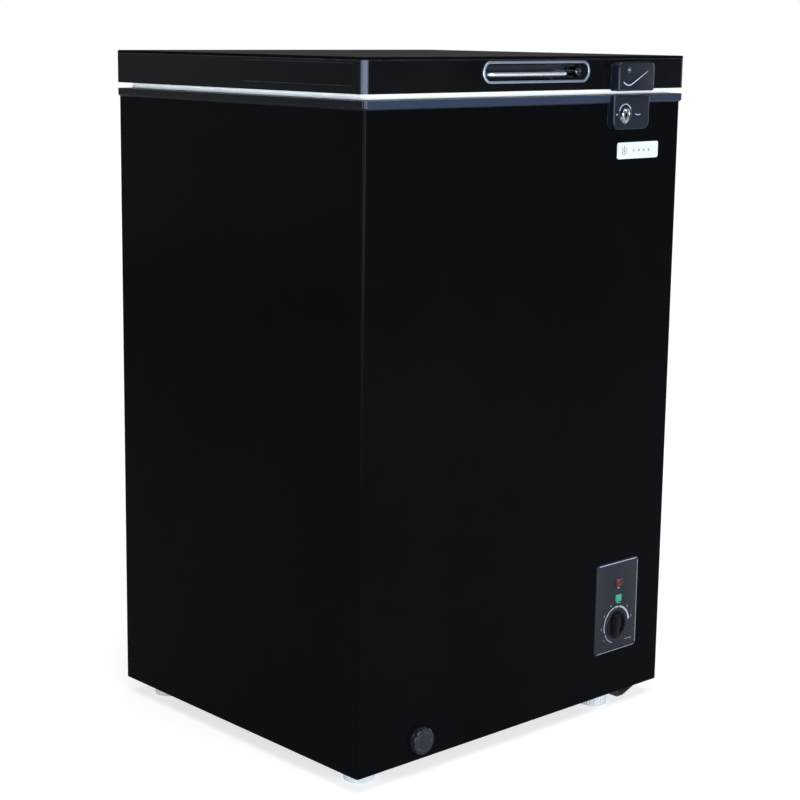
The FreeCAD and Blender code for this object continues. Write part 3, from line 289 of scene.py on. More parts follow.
def makeEdgeWear():
    # a lighter, broken line along the corners: partly where handling has rubbed them, partly painted
    # highlight on the rounded edges
    group, taken, given = startGroup(
        "edgeWear",
        {"Place": "Vector", "Colour": "Color", "Worn": "Color", "Amount": "Float", "Width": "Float"},
        {"Colour": "Color", "Mask": "Float"})
    soft = addNode(group, "ShaderNodeBevel", {"samples": 4}, {"Radius": taken["Width"]})
    true = addNode(group, "ShaderNodeNewGeometry")
    agree = addNode(group, "ShaderNodeVectorMath", {"operation": "DOT_PRODUCT"},
                    {0: soft.outputs[0], 1: true.outputs["Normal"]})
    edge = remap(group, agree.outputs["Value"], 0.995, 0.86, 0.0, 1.0)
    broken = remap(group, noise(group, taken["Place"], 160.0, 5.0, 0.7), 0.38, 0.6, 0.25, 1.0)
    mask = calc(group, "MULTIPLY", calc(group, "MULTIPLY", edge, broken), taken["Amount"])
    group.links.new(blendColours(group, mask, taken["Colour"], taken["Worn"]), given["Colour"])
    group.links.new(mask, given["Mask"])
    return group


def makeDust():
    # a thin pale film that settles on what looks up
    group, taken, given = startGroup(
        "settledDust", {"Place": "Vector", "Colour": "Color", "Dust": "Color", "Amount": "Float"},
        {"Colour": "Color", "Mask": "Float"})
    true = addNode(group, "ShaderNodeNewGeometry")
    parts = addNode(group, "ShaderNodeSeparateXYZ", None, {0: true.outputs["Normal"]})
    upward = remap(group, parts.outputs["Z"], 0.2, 1.0, 0.0, 1.0)
    clumps = remap(group, noise(group, taken["Place"], 55.0, 6.0, 0.65), 0.4, 0.75, 0.15, 1.0)
    mask = calc(group, "MULTIPLY", calc(group, "MULTIPLY", upward, clumps), taken["Amount"])
    group.links.new(blendColours(group, mask, taken["Colour"], taken["Dust"]), given["Colour"])
    group.links.new(mask, given["Mask"])
    return group


def makeGrain():
    # moulded texture: small pits over a slow waviness
    group, taken, given = startGroup(
        "mouldedGrain", {"Place": "Vector", "Grain": "Float", "Depth": "Float", "Wave": "Float"},
        {"Normal": "Vector"})
    pits = addNode(group, "ShaderNodeTexVoronoi", {"feature": "SMOOTH_F1"},
                   {"Vector": taken["Place"], "Scale": taken["Grain"]})
    crumbs = noise(group, taken["Place"], calc(group, "MULTIPLY", taken["Grain"], 2.3), 2.0)
    height = calc(group, "ADD", pits.outputs["Distance"], crumbs)
    small = addNode(group, "ShaderNodeBump", None,
                    {"Height": height, "Strength": taken["Depth"], "Distance": 0.0002})
    slow = noise(group, taken["Place"], 70.0, 2.0)
    broad = addNode(group, "ShaderNodeBump", None,
                    {"Height": slow, "Strength": taken["Wave"], "Distance": 0.0006,
                     "Normal": small.outputs[0]})
    group.links.new(broad.outputs[0], given["Normal"])
    return group


def makeBrushing():
    # fine scratches that run one way, for drawn and ground metal
    group, taken, given = startGroup(
        "brushedLines", {"Place": "Vector", "Stretch": "Vector", "Depth": "Float"},
        {"Normal": "Vector", "Streak": "Float"})
    pulled = addNode(group, "ShaderNodeVectorMath", {"operation": "MULTIPLY"},
                     {0: taken["Place"], 1: taken["Stretch"]})
    streaks = noise(group, pulled.outputs[0], 1.0, 4.0, 0.6)
    lines = addNode(group, "ShaderNodeBump", None,
                    {"Height": streaks, "Strength": taken["Depth"], "Distance": 0.0002})
    group.links.new(lines.outputs[0], given["Normal"])
    group.links.new(streaks, given["Streak"])
    return group


patchyTone = makePatchyTone()
edgeWear = makeEdgeWear()
settledDust = makeDust()
mouldedGrain = makeGrain()
brushedLines = makeBrushing()
print("shared effects made")


# finishes

def startFinish(name, look):
    material = bpy.data.materials.new(name)
    material.use_nodes = True
    tree = material.node_tree
    shader = tree.nodes["Principled BSDF"]
    for socket, value in look.get("shader", {}).items():
        shader.inputs[socket].default_value = value
    place = addNode(tree, "ShaderNodeTexCoord").outputs["Object"]
    tone = placeGroup(tree, patchyTone, {
        "Place": place, "Tone": (*look["tone"], 1), "Other Tone": (*look["otherTone"], 1),
        "Patches": look["patches"], "Roughness": look["roughness"], "Drift": look["drift"]})
    return material, tree, shader, place, tone


def endFinish(tree, shader, place, look, colour, roughness, normal):
    # the lighter line along the corners is partly rubbing from handling, partly painted highlight
    worn = placeGroup(tree, edgeWear, {
        "Place": place, "Colour": colour, "Worn": (*look["worn"], 1), "Amount": look["wear"],
        "Width": look.get("wearWidth", 0.0008)})
    dusty = placeGroup(tree, settledDust, {
        "Place": place, "Colour": worn["Colour"], "Dust": (0.35, 0.34, 0.33, 1), "Amount": look["dust"]})
    tree.links.new(dusty["Colour"], shader.inputs["Base Color"])
    dull = calc(tree, "ADD", roughness, calc(tree, "MULTIPLY", dusty["Mask"], 0.35))
    tree.links.new(calc(tree, "MINIMUM", dull, 1.0), shader.inputs["Roughness"])
    tree.links.new(normal, shader.inputs["Normal"])


def grainedFinish(name, look):
    # painted sheet, moulded plastic, rubber: everything with an even grain
    material, tree, shader, place, tone = startFinish(name, look)
    normal = placeGroup(tree, mouldedGrain, {
        "Place": place, "Grain": look["grain"], "Depth": look["depth"], "Wave": look["wave"]})
    endFinish(tree, shader, place, look, tone["Colour"], tone["Roughness"], normal["Normal"])
    return material


def frontedFinish(name, look):
    # a grained finish with a painted sheen along its front, or only at its two front corners
    material, tree, shader, place, tone = startFinish(name, look)
    parts = addNode(tree, "ShaderNodeSeparateXYZ", None, {0: place})
    low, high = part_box(look["node"])
    reach = look["paleReach"]
    share = remap(tree, parts.outputs["Y"], low.y + reach, low.y + 0.5 * reach, 0.0, 1.0)
    if look["cornersOnly"]:
        sideways = calc(tree, "ABSOLUTE", parts.outputs["X"])
        outward = remap(tree, sideways, high.x - reach, high.x - 0.5 * reach, 0.0, 1.0)
        share = calc(tree, "MULTIPLY", share, outward)
    buffed = blendColours(tree, share, tone["Colour"], (*look["paleTone"], 1))
    normal = placeGroup(tree, mouldedGrain, {
        "Place": place, "Grain": look["grain"], "Depth": look["depth"], "Wave": look["wave"]})
    endFinish(tree, shader, place, look, buffed, tone["Roughness"], normal["Normal"])
    return material


def brushedFinish(name, look):
    material, tree, shader, place, tone = startFinish(name, look)
    shader.inputs["Metallic"].default_value = 1.0
    lines = placeGroup(tree, brushedLines, {
        "Place": place, "Stretch": look["stretch"], "Depth": look["depth"]})
    streaky = calc(tree, "ADD", tone["Roughness"], calc(
        tree, "MULTIPLY", calc(tree, "SUBTRACT", lines["Streak"], 0.5), look["streaks"]))
    endFinish(tree, shader, place, look, tone["Colour"], streaky, lines["Normal"])
    return material


def embossedFinish(name, look):
    # pebbled sheet, as a liner has, with painted shade in the hollows between the pebbles
    material, tree, shader, place, tone = startFinish(name, look)
    cells = addNode(tree, "ShaderNodeTexVoronoi", {"feature": "F1"},
                    {"Vector": place, "Scale": look["pebbles"], "Randomness": 0.75})
    raised = remap(tree, cells.outputs["Distance"], 0.0, 0.6, 1.0, 0.0)
    bumpy = addNode(tree, "ShaderNodeBump", None,
                    {"Height": raised, "Strength": look["depth"], "Distance": 0.0006})
    # the hollows between the pebbles are painted darker, as painted shade
    valleys = blendColours(tree, remap(tree, raised, 0.0, 0.5, 0.35, 0.0),
                           tone["Colour"], (*look["valley"], 1))
    endFinish(tree, shader, place, look, valleys, tone["Roughness"], bumpy.outputs[0])
    return material


def lensFinish(name, look):
    # a ribbed lamp lens: bright towards its middle, dark at its rim
    material, tree, shader, place, tone = startFinish(name, look)
    centred = addNode(tree, "ShaderNodeVectorMath", {"operation": "SUBTRACT"},
                      {0: place, 1: look["middle"]})
    away = addNode(tree, "ShaderNodeVectorMath", {"operation": "LENGTH"}, {0: centred.outputs[0]})
    glow = remap(tree, away.outputs["Value"], 0.0, 0.0075, 1.0, 0.25)
    lit = blendColours(tree, glow, tone["Colour"], (*look["lit"], 1))
    ribs = addNode(tree, "ShaderNodeTexWave", {"wave_type": "BANDS", "bands_direction": "X"},
                   {"Vector": place, "Scale": look["ribs"], "Distortion": 0.0})
    ribbed = addNode(tree, "ShaderNodeBump", None,
                     {"Height": ribs.outputs["Fac"], "Strength": 0.35, "Distance": 0.0003})
    tree.links.new(lit, shader.inputs["Emission Color"])
    endFinish(tree, shader, place, look, lit, tone["Roughness"], ribbed.outputs[0])
    return material


def foamFinish(name, look):
    material, tree, shader, place, tone = startFinish(name, look)
    cells = addNode(tree, "ShaderNodeTexVoronoi", {"feature": "DISTANCE_TO_EDGE"},
                    {"Vector": place, "Scale": look["cells"]})
    walls = addNode(tree, "ShaderNodeBump", None,
                    {"Height": cells.outputs["Distance"], "Strength": look["depth"], "Distance": 0.0008})
    endFinish(tree, shader, place, look, tone["Colour"], tone["Roughness"], walls.outputs[0])
    return material


def enamel(**changes):
    look = {"tone": (0.0016, 0.0017, 0.0022), "otherTone": (0.0021, 0.0022, 0.0028), "patches": 4.0,
            "roughness": 0.2, "drift": 0.12, "worn": (0.045, 0.048, 0.056), "wear": 0.8,
            "wearWidth": 0.0009, "dust": 0.02, "grain": 420.0, "depth": 0.02, "wave": 0.05,
            "shader": {"Specular IOR Level": 0.02}}
    return {**look, **changes}


def plastic(tone, otherTone, **changes):
    look = {"tone": tone, "otherTone": otherTone, "patches": 12.0, "roughness": 0.42, "drift": 0.15,
            "worn": tuple(min(1.0, 2.2 * c + 0.02) for c in tone), "wear": 0.35, "dust": 0.05,
            "grain": 1500.0, "depth": 0.12, "wave": 0.03, "shader": {"Specular IOR Level": 0.3}}
    return {**look, **changes}


def metal(tone, otherTone, **changes):
    look = {"tone": tone, "otherTone": otherTone, "patches": 14.0, "roughness": 0.28, "drift": 0.15,
            "worn": tuple(min(1.0, 1.3 * c) for c in tone), "wear": 0.3, "dust": 0.04,
            "stretch": (2200.0, 60.0, 60.0), "depth": 0.12, "streaks": 0.2}
    return {**look, **changes}


blackEnamel = grainedFinish("blackEnamel", enamel())
lidTopEnamel = grainedFinish("lidTopEnamel", enamel(
    shader={"Specular IOR Level": 0.008}, roughness=0.25, dust=0.002))
backSteel = grainedFinish("backSteel", plastic(
    (0.16, 0.165, 0.17), (0.2, 0.205, 0.21), patches=18.0, grain=300.0, depth=0.05, roughness=0.38,
    dust=0.15, shader={"Metallic": 0.7}))
baseSteel = grainedFinish("baseSteel", plastic(
    (0.02, 0.021, 0.024), (0.03, 0.031, 0.034), grain=700.0, roughness=0.5, dust=0.25))
# the pale strips at the lid frame's two front corners are a painted highlight on its rounded corners
lidPlastic = frontedFinish("lidPlastic", plastic(
    (0.0016, 0.0017, 0.0022), (0.0024, 0.0025, 0.0032), roughness=0.24, depth=0.03, dust=0.0,
    worn=(0.12, 0.13, 0.16), wear=0.45, wearWidth=0.001, node="lid_frame", cornersOnly=True,
    paleReach=7 * mm, paleTone=(0.075, 0.087, 0.115), shader={"Specular IOR Level": 0.09}))
# the paler steel-blue along the rim's front face is a painted reflection
rimPlastic = frontedFinish("rimPlastic", plastic(
    (0.0028, 0.003, 0.0045), (0.0045, 0.005, 0.0075), patches=26.0, roughness=0.14, drift=0.2, depth=0.03,
    wave=0.22, worn=(0.12, 0.15, 0.21), wear=0.35, dust=0.0, node="top_rim", cornersOnly=False,
    paleReach=2 * mm, paleTone=(0.022, 0.03, 0.052), shader={"Specular IOR Level": 0.1}))
gasketVinyl = grainedFinish("gasketVinyl", plastic(
    (0.94, 0.95, 0.96), (0.9, 0.92, 0.94), roughness=0.5, grain=900.0, depth=0.06, wear=0.0, dust=0.0,
    shader={"Subsurface Weight": 0.12, "Subsurface Scale": 0.003}))
linerSkin = embossedFinish("linerSkin", {
    "tone": (0.74, 0.765, 0.78), "otherTone": (0.68, 0.705, 0.725), "patches": 9.0, "roughness": 0.36,
    "drift": 0.2, "worn": (0.85, 0.86, 0.87), "wear": 0.15, "dust": 0.05, "pebbles": 190.0, "depth": 0.5,
    "valley": (0.5, 0.53, 0.56), "shader": {"Metallic": 0.25}})
whitePlastic = grainedFinish("whitePlastic", plastic(
    (0.76, 0.775, 0.79), (0.7, 0.72, 0.735), roughness=0.3, grain=600.0, depth=0.05, wear=0.1,
    shader={"Specular IOR Level": 0.5}))
polishedChrome = brushedFinish("polishedChrome", metal(
    (0.82, 0.84, 0.87), (0.74, 0.765, 0.8), roughness=0.08, drift=0.1, depth=0.015, streaks=0.06))
lockPlastic = grainedFinish("lockPlastic", plastic(
    (0.0026, 0.0047, 0.0105), (0.0038, 0.0065, 0.0145), patches=40.0, roughness=0.33, depth=0.1, dust=0.0,
    worn=(0.24, 0.28, 0.37), wear=0.8, wearWidth=0.0008, shader={"Specular IOR Level": 0.25}))
# the pale tone is a painted highlight on the lock's raised ribs, stud and dot
ridgePlastic = grainedFinish("ridgePlastic", plastic(
    (0.26, 0.3, 0.37), (0.4, 0.44, 0.52), patches=90.0, roughness=0.22, depth=0.05, dust=0.0,
    worn=(0.6, 0.63, 0.68), wear=0.6, wearWidth=0.0004, shader={"Specular IOR Level": 0.6}))
cupPlastic = grainedFinish("cupPlastic", plastic(
    (0.010, 0.012, 0.018), (0.018, 0.022, 0.032), patches=20.0, roughness=0.14, depth=0.02, dust=0.0,
    worn=(0.1, 0.12, 0.16), wear=0.4, shader={"Specular IOR Level": 0.6}))
panelPlastic = grainedFinish("panelPlastic", plastic(
    (0.0055, 0.008, 0.0115), (0.0075, 0.0105, 0.0145), patches=30.0, roughness=0.45, depth=0.2, dust=0.0,
    worn=(0.2, 0.22, 0.27), wear=0.6, wearWidth=0.0005, shader={"Specular IOR Level": 0.25}))
capPlastic = grainedFinish("capPlastic", plastic(
    (0.005, 0.0065, 0.0105), (0.007, 0.0095, 0.0145), patches=50.0, roughness=0.38, depth=0.22, dust=0.0,
    worn=(0.14, 0.16, 0.2), wear=0.7, wearWidth=0.0006, shader={"Specular IOR Level": 0.35}))
knobPlastic = grainedFinish("knobPlastic", plastic(
    (0.0016, 0.0018, 0.0028), (0.003, 0.0035, 0.005), patches=60.0, roughness=0.14, depth=0.03, dust=0.0,
    worn=(0.06, 0.07, 0.09), wear=0.4, wearWidth=0.0004, shader={"Specular IOR Level": 0.15}))
satinChrome = brushedFinish("satinChrome", metal(
    (0.93, 0.945, 0.96), (0.86, 0.88, 0.9), roughness=0.42, drift=0.1, depth=0.04, dust=0.0,
    streaks=0.1))
ringChrome = brushedFinish("ringChrome", metal(
    (0.42, 0.48, 0.58), (0.36, 0.42, 0.52), roughness=0.34, drift=0.1, depth=0.03, dust=0.0,
    worn=(0.8, 0.84, 0.9), wear=0.8, wearWidth=0.0006, streaks=0.1))
darkChrome = brushedFinish("darkChrome", metal(
    (0.12, 0.13, 0.16), (0.08, 0.09, 0.11), roughness=0.18, drift=0.1, depth=0.03, dust=0.0,
    worn=(0.7, 0.73, 0.78), wear=0.7, streaks=0.08))
# silver painted highlight for the control panel's top, right and bottom edges
silverInk = grainedFinish("silverInk", plastic(
    (0.3, 0.33, 0.4), (0.36, 0.4, 0.47), patches=60.0, roughness=0.4, wear=0.0, dust=0.0))
# navy painted shade for a band under the control panel's top edge
navyInk = grainedFinish("navyInk", plastic(
    (0.006, 0.0075, 0.018), (0.008, 0.010, 0.022), patches=60.0, roughness=0.35, wear=0.0, dust=0.0))
printInk = grainedFinish("printInk", plastic(
    (0.34, 0.36, 0.4), (0.22, 0.24, 0.28), patches=220.0, roughness=0.6, wear=0.0, dust=0.0))
markInk = grainedFinish("markInk", plastic(
    (0.1, 0.11, 0.13), (0.2, 0.21, 0.24), patches=300.0, roughness=0.55, wear=0.0, dust=0.0))
badgeMetal = grainedFinish("badgeMetal", plastic(
    (0.56, 0.59, 0.62), (0.52, 0.55, 0.58), patches=30.0, roughness=0.4, grain=500.0, depth=0.05,
    worn=(0.98, 0.99, 1.0), wear=0.3, dust=0.0))
blackPlastic = grainedFinish("blackPlastic", plastic(
    (0.010, 0.010, 0.011), (0.015, 0.015, 0.017), roughness=0.5, depth=0.25, dust=0.15))
footNylon = grainedFinish("footNylon", plastic(
    (0.6, 0.62, 0.64), (0.46, 0.48, 0.5), patches=70.0, roughness=0.3, depth=0.12, wear=0.3,
    dust=0.12, shader={"Subsurface Weight": 0.3, "Subsurface Scale": 0.004}))
ventSteel = grainedFinish("ventSteel", plastic(
    (0.018, 0.0185, 0.021), (0.026, 0.0265, 0.03), grain=500.0, roughness=0.45, dust=0.22,
    worn=(0.2, 0.2, 0.21), wear=0.5))
compressorPaint = grainedFinish("compressorPaint", plastic(
    (0.009, 0.009, 0.010), (0.014, 0.014, 0.015), grain=260.0, wave=0.12, roughness=0.25, dust=0.2))
rubber = grainedFinish("rubber", plastic(
    (0.016, 0.016, 0.017), (0.026, 0.026, 0.027), grain=1100.0, roughness=0.78, dust=0.2,
    shader={"Specular IOR Level": 0.25}))
basketCoat = grainedFinish("basketCoat", plastic(
    (0.78, 0.8, 0.82), (0.7, 0.72, 0.745), patches=60.0, grain=500.0, wave=0.3, roughness=0.32,
    wear=0.2, worn=(0.5, 0.5, 0.5), shader={"Specular IOR Level": 0.5}))
hingeSteel = grainedFinish("hingeSteel", plastic(
    (0.02, 0.0205, 0.023), (0.032, 0.033, 0.036), grain=800.0, roughness=0.4,
    worn=(0.3, 0.3, 0.31), wear=0.7, shader={"Metallic": 0.3}))
zincSteel = brushedFinish("zincSteel", metal(
    (0.62, 0.62, 0.6), (0.48, 0.48, 0.47), patches=120.0, roughness=0.32, stretch=(900.0, 900.0, 120.0)))
copper = brushedFinish("copper", metal(
    (0.74, 0.38, 0.22), (0.5, 0.22, 0.12), patches=45.0, roughness=0.3, stretch=(400.0, 400.0, 400.0)))
coilAluminium = brushedFinish("coilAluminium", metal(
    (0.7, 0.71, 0.72), (0.6, 0.61, 0.62), patches=30.0, stretch=(300.0, 300.0, 1400.0)))
coilSteel = brushedFinish("coilSteel", metal(
    (0.4, 0.4, 0.41), (0.26, 0.26, 0.27), patches=35.0, roughness=0.42, stretch=(300.0, 300.0, 1400.0)))
insulation = foamFinish("insulation", {
    "tone": (0.76, 0.62, 0.34), "otherTone": (0.66, 0.5, 0.24), "patches": 30.0, "roughness": 0.9,
    "drift": 0.1, "worn": (0.8, 0.7, 0.45), "wear": 0.2, "dust": 0.1, "cells": 520.0, "depth": 0.5})

nodeFinishes = {
    blackEnamel: ["outer_wrap"],
    lidTopEnamel: ["lid_top_panel"],
    backSteel: ["back_panel", "machine_bulkhead"],
    baseSteel: ["bottom_panel", "compressor_base", "base_stiffener"],
    insulation: ["cabinet_foam", "lid_foam"],
    linerSkin: ["inner_liner"],
    rimPlastic: ["top_rim"],
    lidPlastic: ["lid_frame"],
    whitePlastic: ["lid_inner_panel", "drain_spout"],
    polishedChrome: ["lock_barrel"],
    lockPlastic: ["lock_body"],
    zincSteel: ["lock_cam", "lock_screws", "cabinet_screws", "compressor_bolts", "foot_nuts", "hinge_pins"],
    hingeSteel: ["hinge_bracket_left", "hinge_bracket_right", "hinge_leaf_left", "hinge_leaf_right"],
    blackPlastic: ["side_grille", "cord_gland", "thermostat_body", "compressor_relay_cover"],
    footNylon: ["foot_front_left", "foot_rear_left", "foot_front_right", "foot_rear_right"],
    ventSteel: ["rear_cover"],
    compressorPaint: ["compressor"],
    rubber: ["compressor_grommets", "drain_plug"],
    copper: ["suction_line", "discharge_line", "filter_drier", "capillary_tube", "thermostat_bulb"],
    coilAluminium: ["evaporator_coil"],
    coilSteel: ["condenser_coil"],
    basketCoat: ["wire_basket"],
}
for material, names in nodeFinishes.items():
    for name in names:
        slots = cadNodes[name].material_slots
        for slot in slots:
            slot.link = "OBJECT"
            slot.material = material
print("finishes on", sum(len(names) for names in nodeFinishes.values()), "frame nodes")


# lid gasket: a vinyl strip with a folded bellows and a flat magnet pocket

gasket = {
    "corner": 8 * mm,
    "cornerSteps": 8,
    # inset from the outer edge, height above the strip's foot, both in millimetres
    "profile": [(0.9, 6.8), (0.1, 6.2), (0.0, 5.4), (1.5, 4.7), (1.7, 4.0), (0.4, 3.4), (0.0, 2.6),
                (0.0, 0.9), (0.8, 0.0), (12.2, 0.0), (13.0, 0.8), (13.0, 2.6), (11.4, 3.6),
                (12.8, 4.8), (12.8, 6.2), (12.2, 6.8)],
}


def makeGasket():
    low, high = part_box("lid_gasket")
    halfWidth, halfDepth = high.x, high.y
    stations = [(inset * mm, low.z + rise * mm) for inset, rise in gasket["profile"]]
    stations.append(stations[0])
    inset, level = stations[0]
    startFresh()
    bpy.ops.mesh.primitive_plane_add(size=1, location=(0, 0, level))
    bpy.context.object.scale = (2 * (halfWidth - inset), 2 * (halfDepth - inset), 1)
    piece = settle("lidGasket")
    edit(piece)
    bpy.ops.mesh.bevel(offset=gasket["corner"], segments=gasket["cornerSteps"], affect="VERTICES")
    bpy.ops.mesh.select_all(action="SELECT")
    bpy.ops.mesh.delete(type="ONLY_FACE")
    pick("edges", lambda edge: True)
    for (insetNow, levelNow), (insetNext, levelNext) in zip(stations, stations[1:]):
        bpy.ops.mesh.extrude_edges_move(TRANSFORM_OT_translate={"value": (0, 0, levelNext - levelNow)})
        bpy.ops.transform.resize(
            value=((halfWidth - insetNext) / (halfWidth - insetNow),
                   (halfDepth - insetNext) / (halfDepth - insetNow), 1),
            center_override=(0, 0, levelNext))
    tidyMesh()
    return finishPiece(piece, "lid", gasketVinyl, ["lid_gasket"], 50)


makeGasket()
print("gasket made")


# lid handle: chromed ring, dark cup, grip bar and its round fixing

handle = {
    "ringRound": 0.7 * mm,
    "cupWall": 1.2 * mm,
    "cupFloorRound": 4 * mm,
    "barBend": 5 * mm,
    "barSides": 28,
    "socketRadius": 2.6 * mm,
}


def addStadium(name, low, high, sides=64):
    # a round bar pulled apart sideways: straight top and bottom, half-round ends
    radius = (high.z - low.z) / 2
    centre = ((low.x + high.x) / 2, (low.z + high.z) / 2)
    piece = addDisc(name, centre, radius, low.y, high.y, sides)
    pull = (high.x - low.x) / 2 - radius
    edit(piece)
    pick("verts", lambda point: point.co.x > centre[0] + 1e-5)
    move(x=pull)
    pick("verts", lambda point: point.co.x < centre[0] - 1e-5)
    move(x=-pull)
    return piece


def makeHandleRing():
    low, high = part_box("handle_bezel")
    piece = addStadium("handleRing", low, high)
    tidyMesh()
    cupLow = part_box("handle_cup")[0]
    edgeWidth = cupLow.x - low.x + handle["cupWall"]
    inner = Vector((edgeWidth, -mm, edgeWidth))
    opening = addStadium("ringOpening", low + inner, high - inner)
    tidyMesh()
    cutAway(piece, opening)
    edit(piece)
    pick("edges", lambda edge: atDepth(edge, low.y) and edge.calc_face_angle(0) > 1)
    bevelPicked(handle["ringRound"], 4)
    tidyMesh()
    return finishPiece(piece, "lid", ringChrome, ["handle_bezel"], 60)


def makeHandleCup():
    low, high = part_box("handle_cup")
    piece = addStadium("handleCup", low, high)
    sinkFront(handle["cupWall"], high.y - low.y - 2 * mm)
    floorDepth = high.y - 2 * mm
    bevelAt(floorDepth, handle["cupFloorRound"], 6)
    tidyMesh()
    return finishPiece(piece, "lid", cupPlastic, ["handle_cup"], 50)


def makeGripBar():
    low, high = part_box("handle_grip")
    radius = (high.z - low.z) / 2
    level = (high.z + low.z) / 2
    bend = handle["barBend"]
    left, right = low.x + radius, high.x - radius
    turnDepth = low.y + radius + bend
    startFresh()
    bpy.ops.mesh.primitive_circle_add(
        vertices=handle["barSides"], radius=radius, location=(left, high.y, level),
        rotation=(math.pi / 2, 0, 0))
    piece = settle("gripBar")
    edit(piece)
    bpy.ops.mesh.extrude_edges_move(TRANSFORM_OT_translate={"value": (0, turnDepth - high.y, 0)})
    bpy.ops.mesh.spin(steps=8, angle=-math.pi / 2, center=(left + bend, turnDepth, level), axis=(0, 0, 1))
    bpy.ops.mesh.extrude_edges_move(
        TRANSFORM_OT_translate={"value": (right - left - 2 * bend, 0, 0)})
    bpy.ops.mesh.spin(steps=8, angle=-math.pi / 2, center=(right - bend, turnDepth, level), axis=(0, 0, 1))
    bpy.ops.mesh.extrude_edges_move(TRANSFORM_OT_translate={"value": (0, high.y - turnDepth, 0)})
    bpy.ops.mesh.select_all(action="SELECT")
    bpy.ops.mesh.remove_doubles(threshold=1e-6)
    bpy.ops.mesh.fill_holes(sides=0)
    tidyMesh()
    return finishPiece(piece, "lid", satinChrome, ["handle_grip"], 60)


def makeRosette():
    low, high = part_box("handle_rosette")
    centre = ((low.x + high.x) / 2, (low.z + high.z) / 2)
    radius = (high.x - low.x) / 2
    piece = addDisc("handleRosette", centre, radius, low.y, high.y, 40)
    edit(piece)
    bevelAt(low.y, 0.3 * radius, 4)
    sinkFront(0.12 * radius, 0.7 * mm)
    tidyMesh()
    slotHalf = 0.4 * mm
    for turned in (0.0, math.pi / 2):
        slotCut = addBlock("crossCut", (centre[0] - slotHalf, low.y - mm, centre[1] - handle["socketRadius"]),
                           (centre[0] + slotHalf, low.y + 2 * mm, centre[1] + handle["socketRadius"]))
        cutter = copyTurned(slotCut, turned + math.radians(20), centre)
        bpy.data.objects.remove(slotCut)
        cutAway(piece, cutter)
    return finishPiece(piece, "lid", darkChrome, ["handle_rosette"], 40)


makeHandleRing()
makeHandleCup()
makeGripBar()
makeRosette()
print("handle made")


# lock: relief on the keeper and the body, drop-shaped keyhole cover

lock = {
    "ridgeRadius": 0.75 * mm,
    "ringRadius": 11.4 * mm,
    "dotRadius": 1.0 * mm,
    "keeperCorner": 8 * mm,
    "faceRound": 2 * mm,
    "dimpleAcross": 18.5 * mm,
    "dimpleUp": 25.5 * mm,
    "dimpleRadius": 3.2 * mm,
    "sweepRadius": 13.5 * mm,
    "sweepTail": 33 * mm,
    "coverRim": 0.9 * mm,
    "coverDip": 0.35 * mm,
    "coverGirth": 0.55 * mm,
    "coverFront": -242.8 * mm,
    "coverBack": -241.2 * mm,
    "mouthFront": -239 * mm,
    "mouthBack": -234 * mm,
    "mouthTopWall": 10 * mm,
    "mouthSideWall": 4 * mm,
    "camHalf": 4.6 * mm,
}


ridgeTaper = 0.35  # how thick a rib's ends are, against its middle


def makeArcRidge(name, centre, radius, startAngle, sweep, depth, thick, tail=0.0):
    # a round rib bent about centre, tapered at its ends; angles run from +X towards +Z
    steps = max(6, int(abs(sweep) / math.radians(8)))
    start = Vector((centre[0] + radius * math.cos(startAngle), depth,
                    centre[1] + radius * math.sin(startAngle)))
    startFresh()
    bpy.ops.mesh.primitive_circle_add(
        vertices=12, radius=ridgeTaper * thick, location=start, rotation=(0, math.pi - startAngle, 0))
    piece = settle(name)
    middle = Vector((centre[0], depth, centre[1]))
    edit(piece)
    bpy.ops.mesh.spin(steps=1, angle=sweep / steps, center=middle, axis=(0, 1, 0))
    here = startAngle + sweep / steps
    at = middle + radius * Vector((math.cos(here), 0, math.sin(here)))
    bpy.ops.transform.resize(value=(1 / ridgeTaper,) * 3, center_override=at)
    bpy.ops.mesh.spin(steps=steps - 2, angle=sweep * (steps - 2) / steps, center=middle, axis=(0, 1, 0))
    here = startAngle + sweep * (steps - 1) / steps
    if tail:
        along = Vector((-math.sin(here), 0, math.cos(here))) * math.copysign(tail, sweep)
        bpy.ops.mesh.extrude_edges_move(TRANSFORM_OT_translate={"value": along})
        at = middle + radius * Vector((math.cos(here), 0, math.sin(here))) + along
        bpy.ops.transform.resize(value=(ridgeTaper,) * 3, center_override=at)
    else:
        bpy.ops.mesh.spin(steps=1, angle=sweep / steps, center=middle, axis=(0, 1, 0))
        here = startAngle + sweep
        at = middle + radius * Vector((math.cos(here), 0, math.sin(here)))
        bpy.ops.transform.resize(value=(ridgeTaper,) * 3, center_override=at)
    bpy.ops.mesh.select_all(action="SELECT")
    bpy.ops.mesh.remove_doubles(threshold=1e-6)
    bpy.ops.mesh.fill_holes(sides=0)
    tidyMesh()
    return piece


def makeBoss(name, centre, radius, depth, proud):
    # a low round button with a dimple in its middle
    piece = addDisc(name, centre, radius, depth - proud, depth + proud, 32)
    edit(piece)
    bevelAt(depth - proud, 0.25 * radius, 3)
    sinkFront(0.15 * radius, 0.8 * proud)
    bpy.ops.transform.resize(value=(0.6, 1, 0.6), center_override=(centre[0], depth, centre[1]))
    tidyMesh()
    return piece


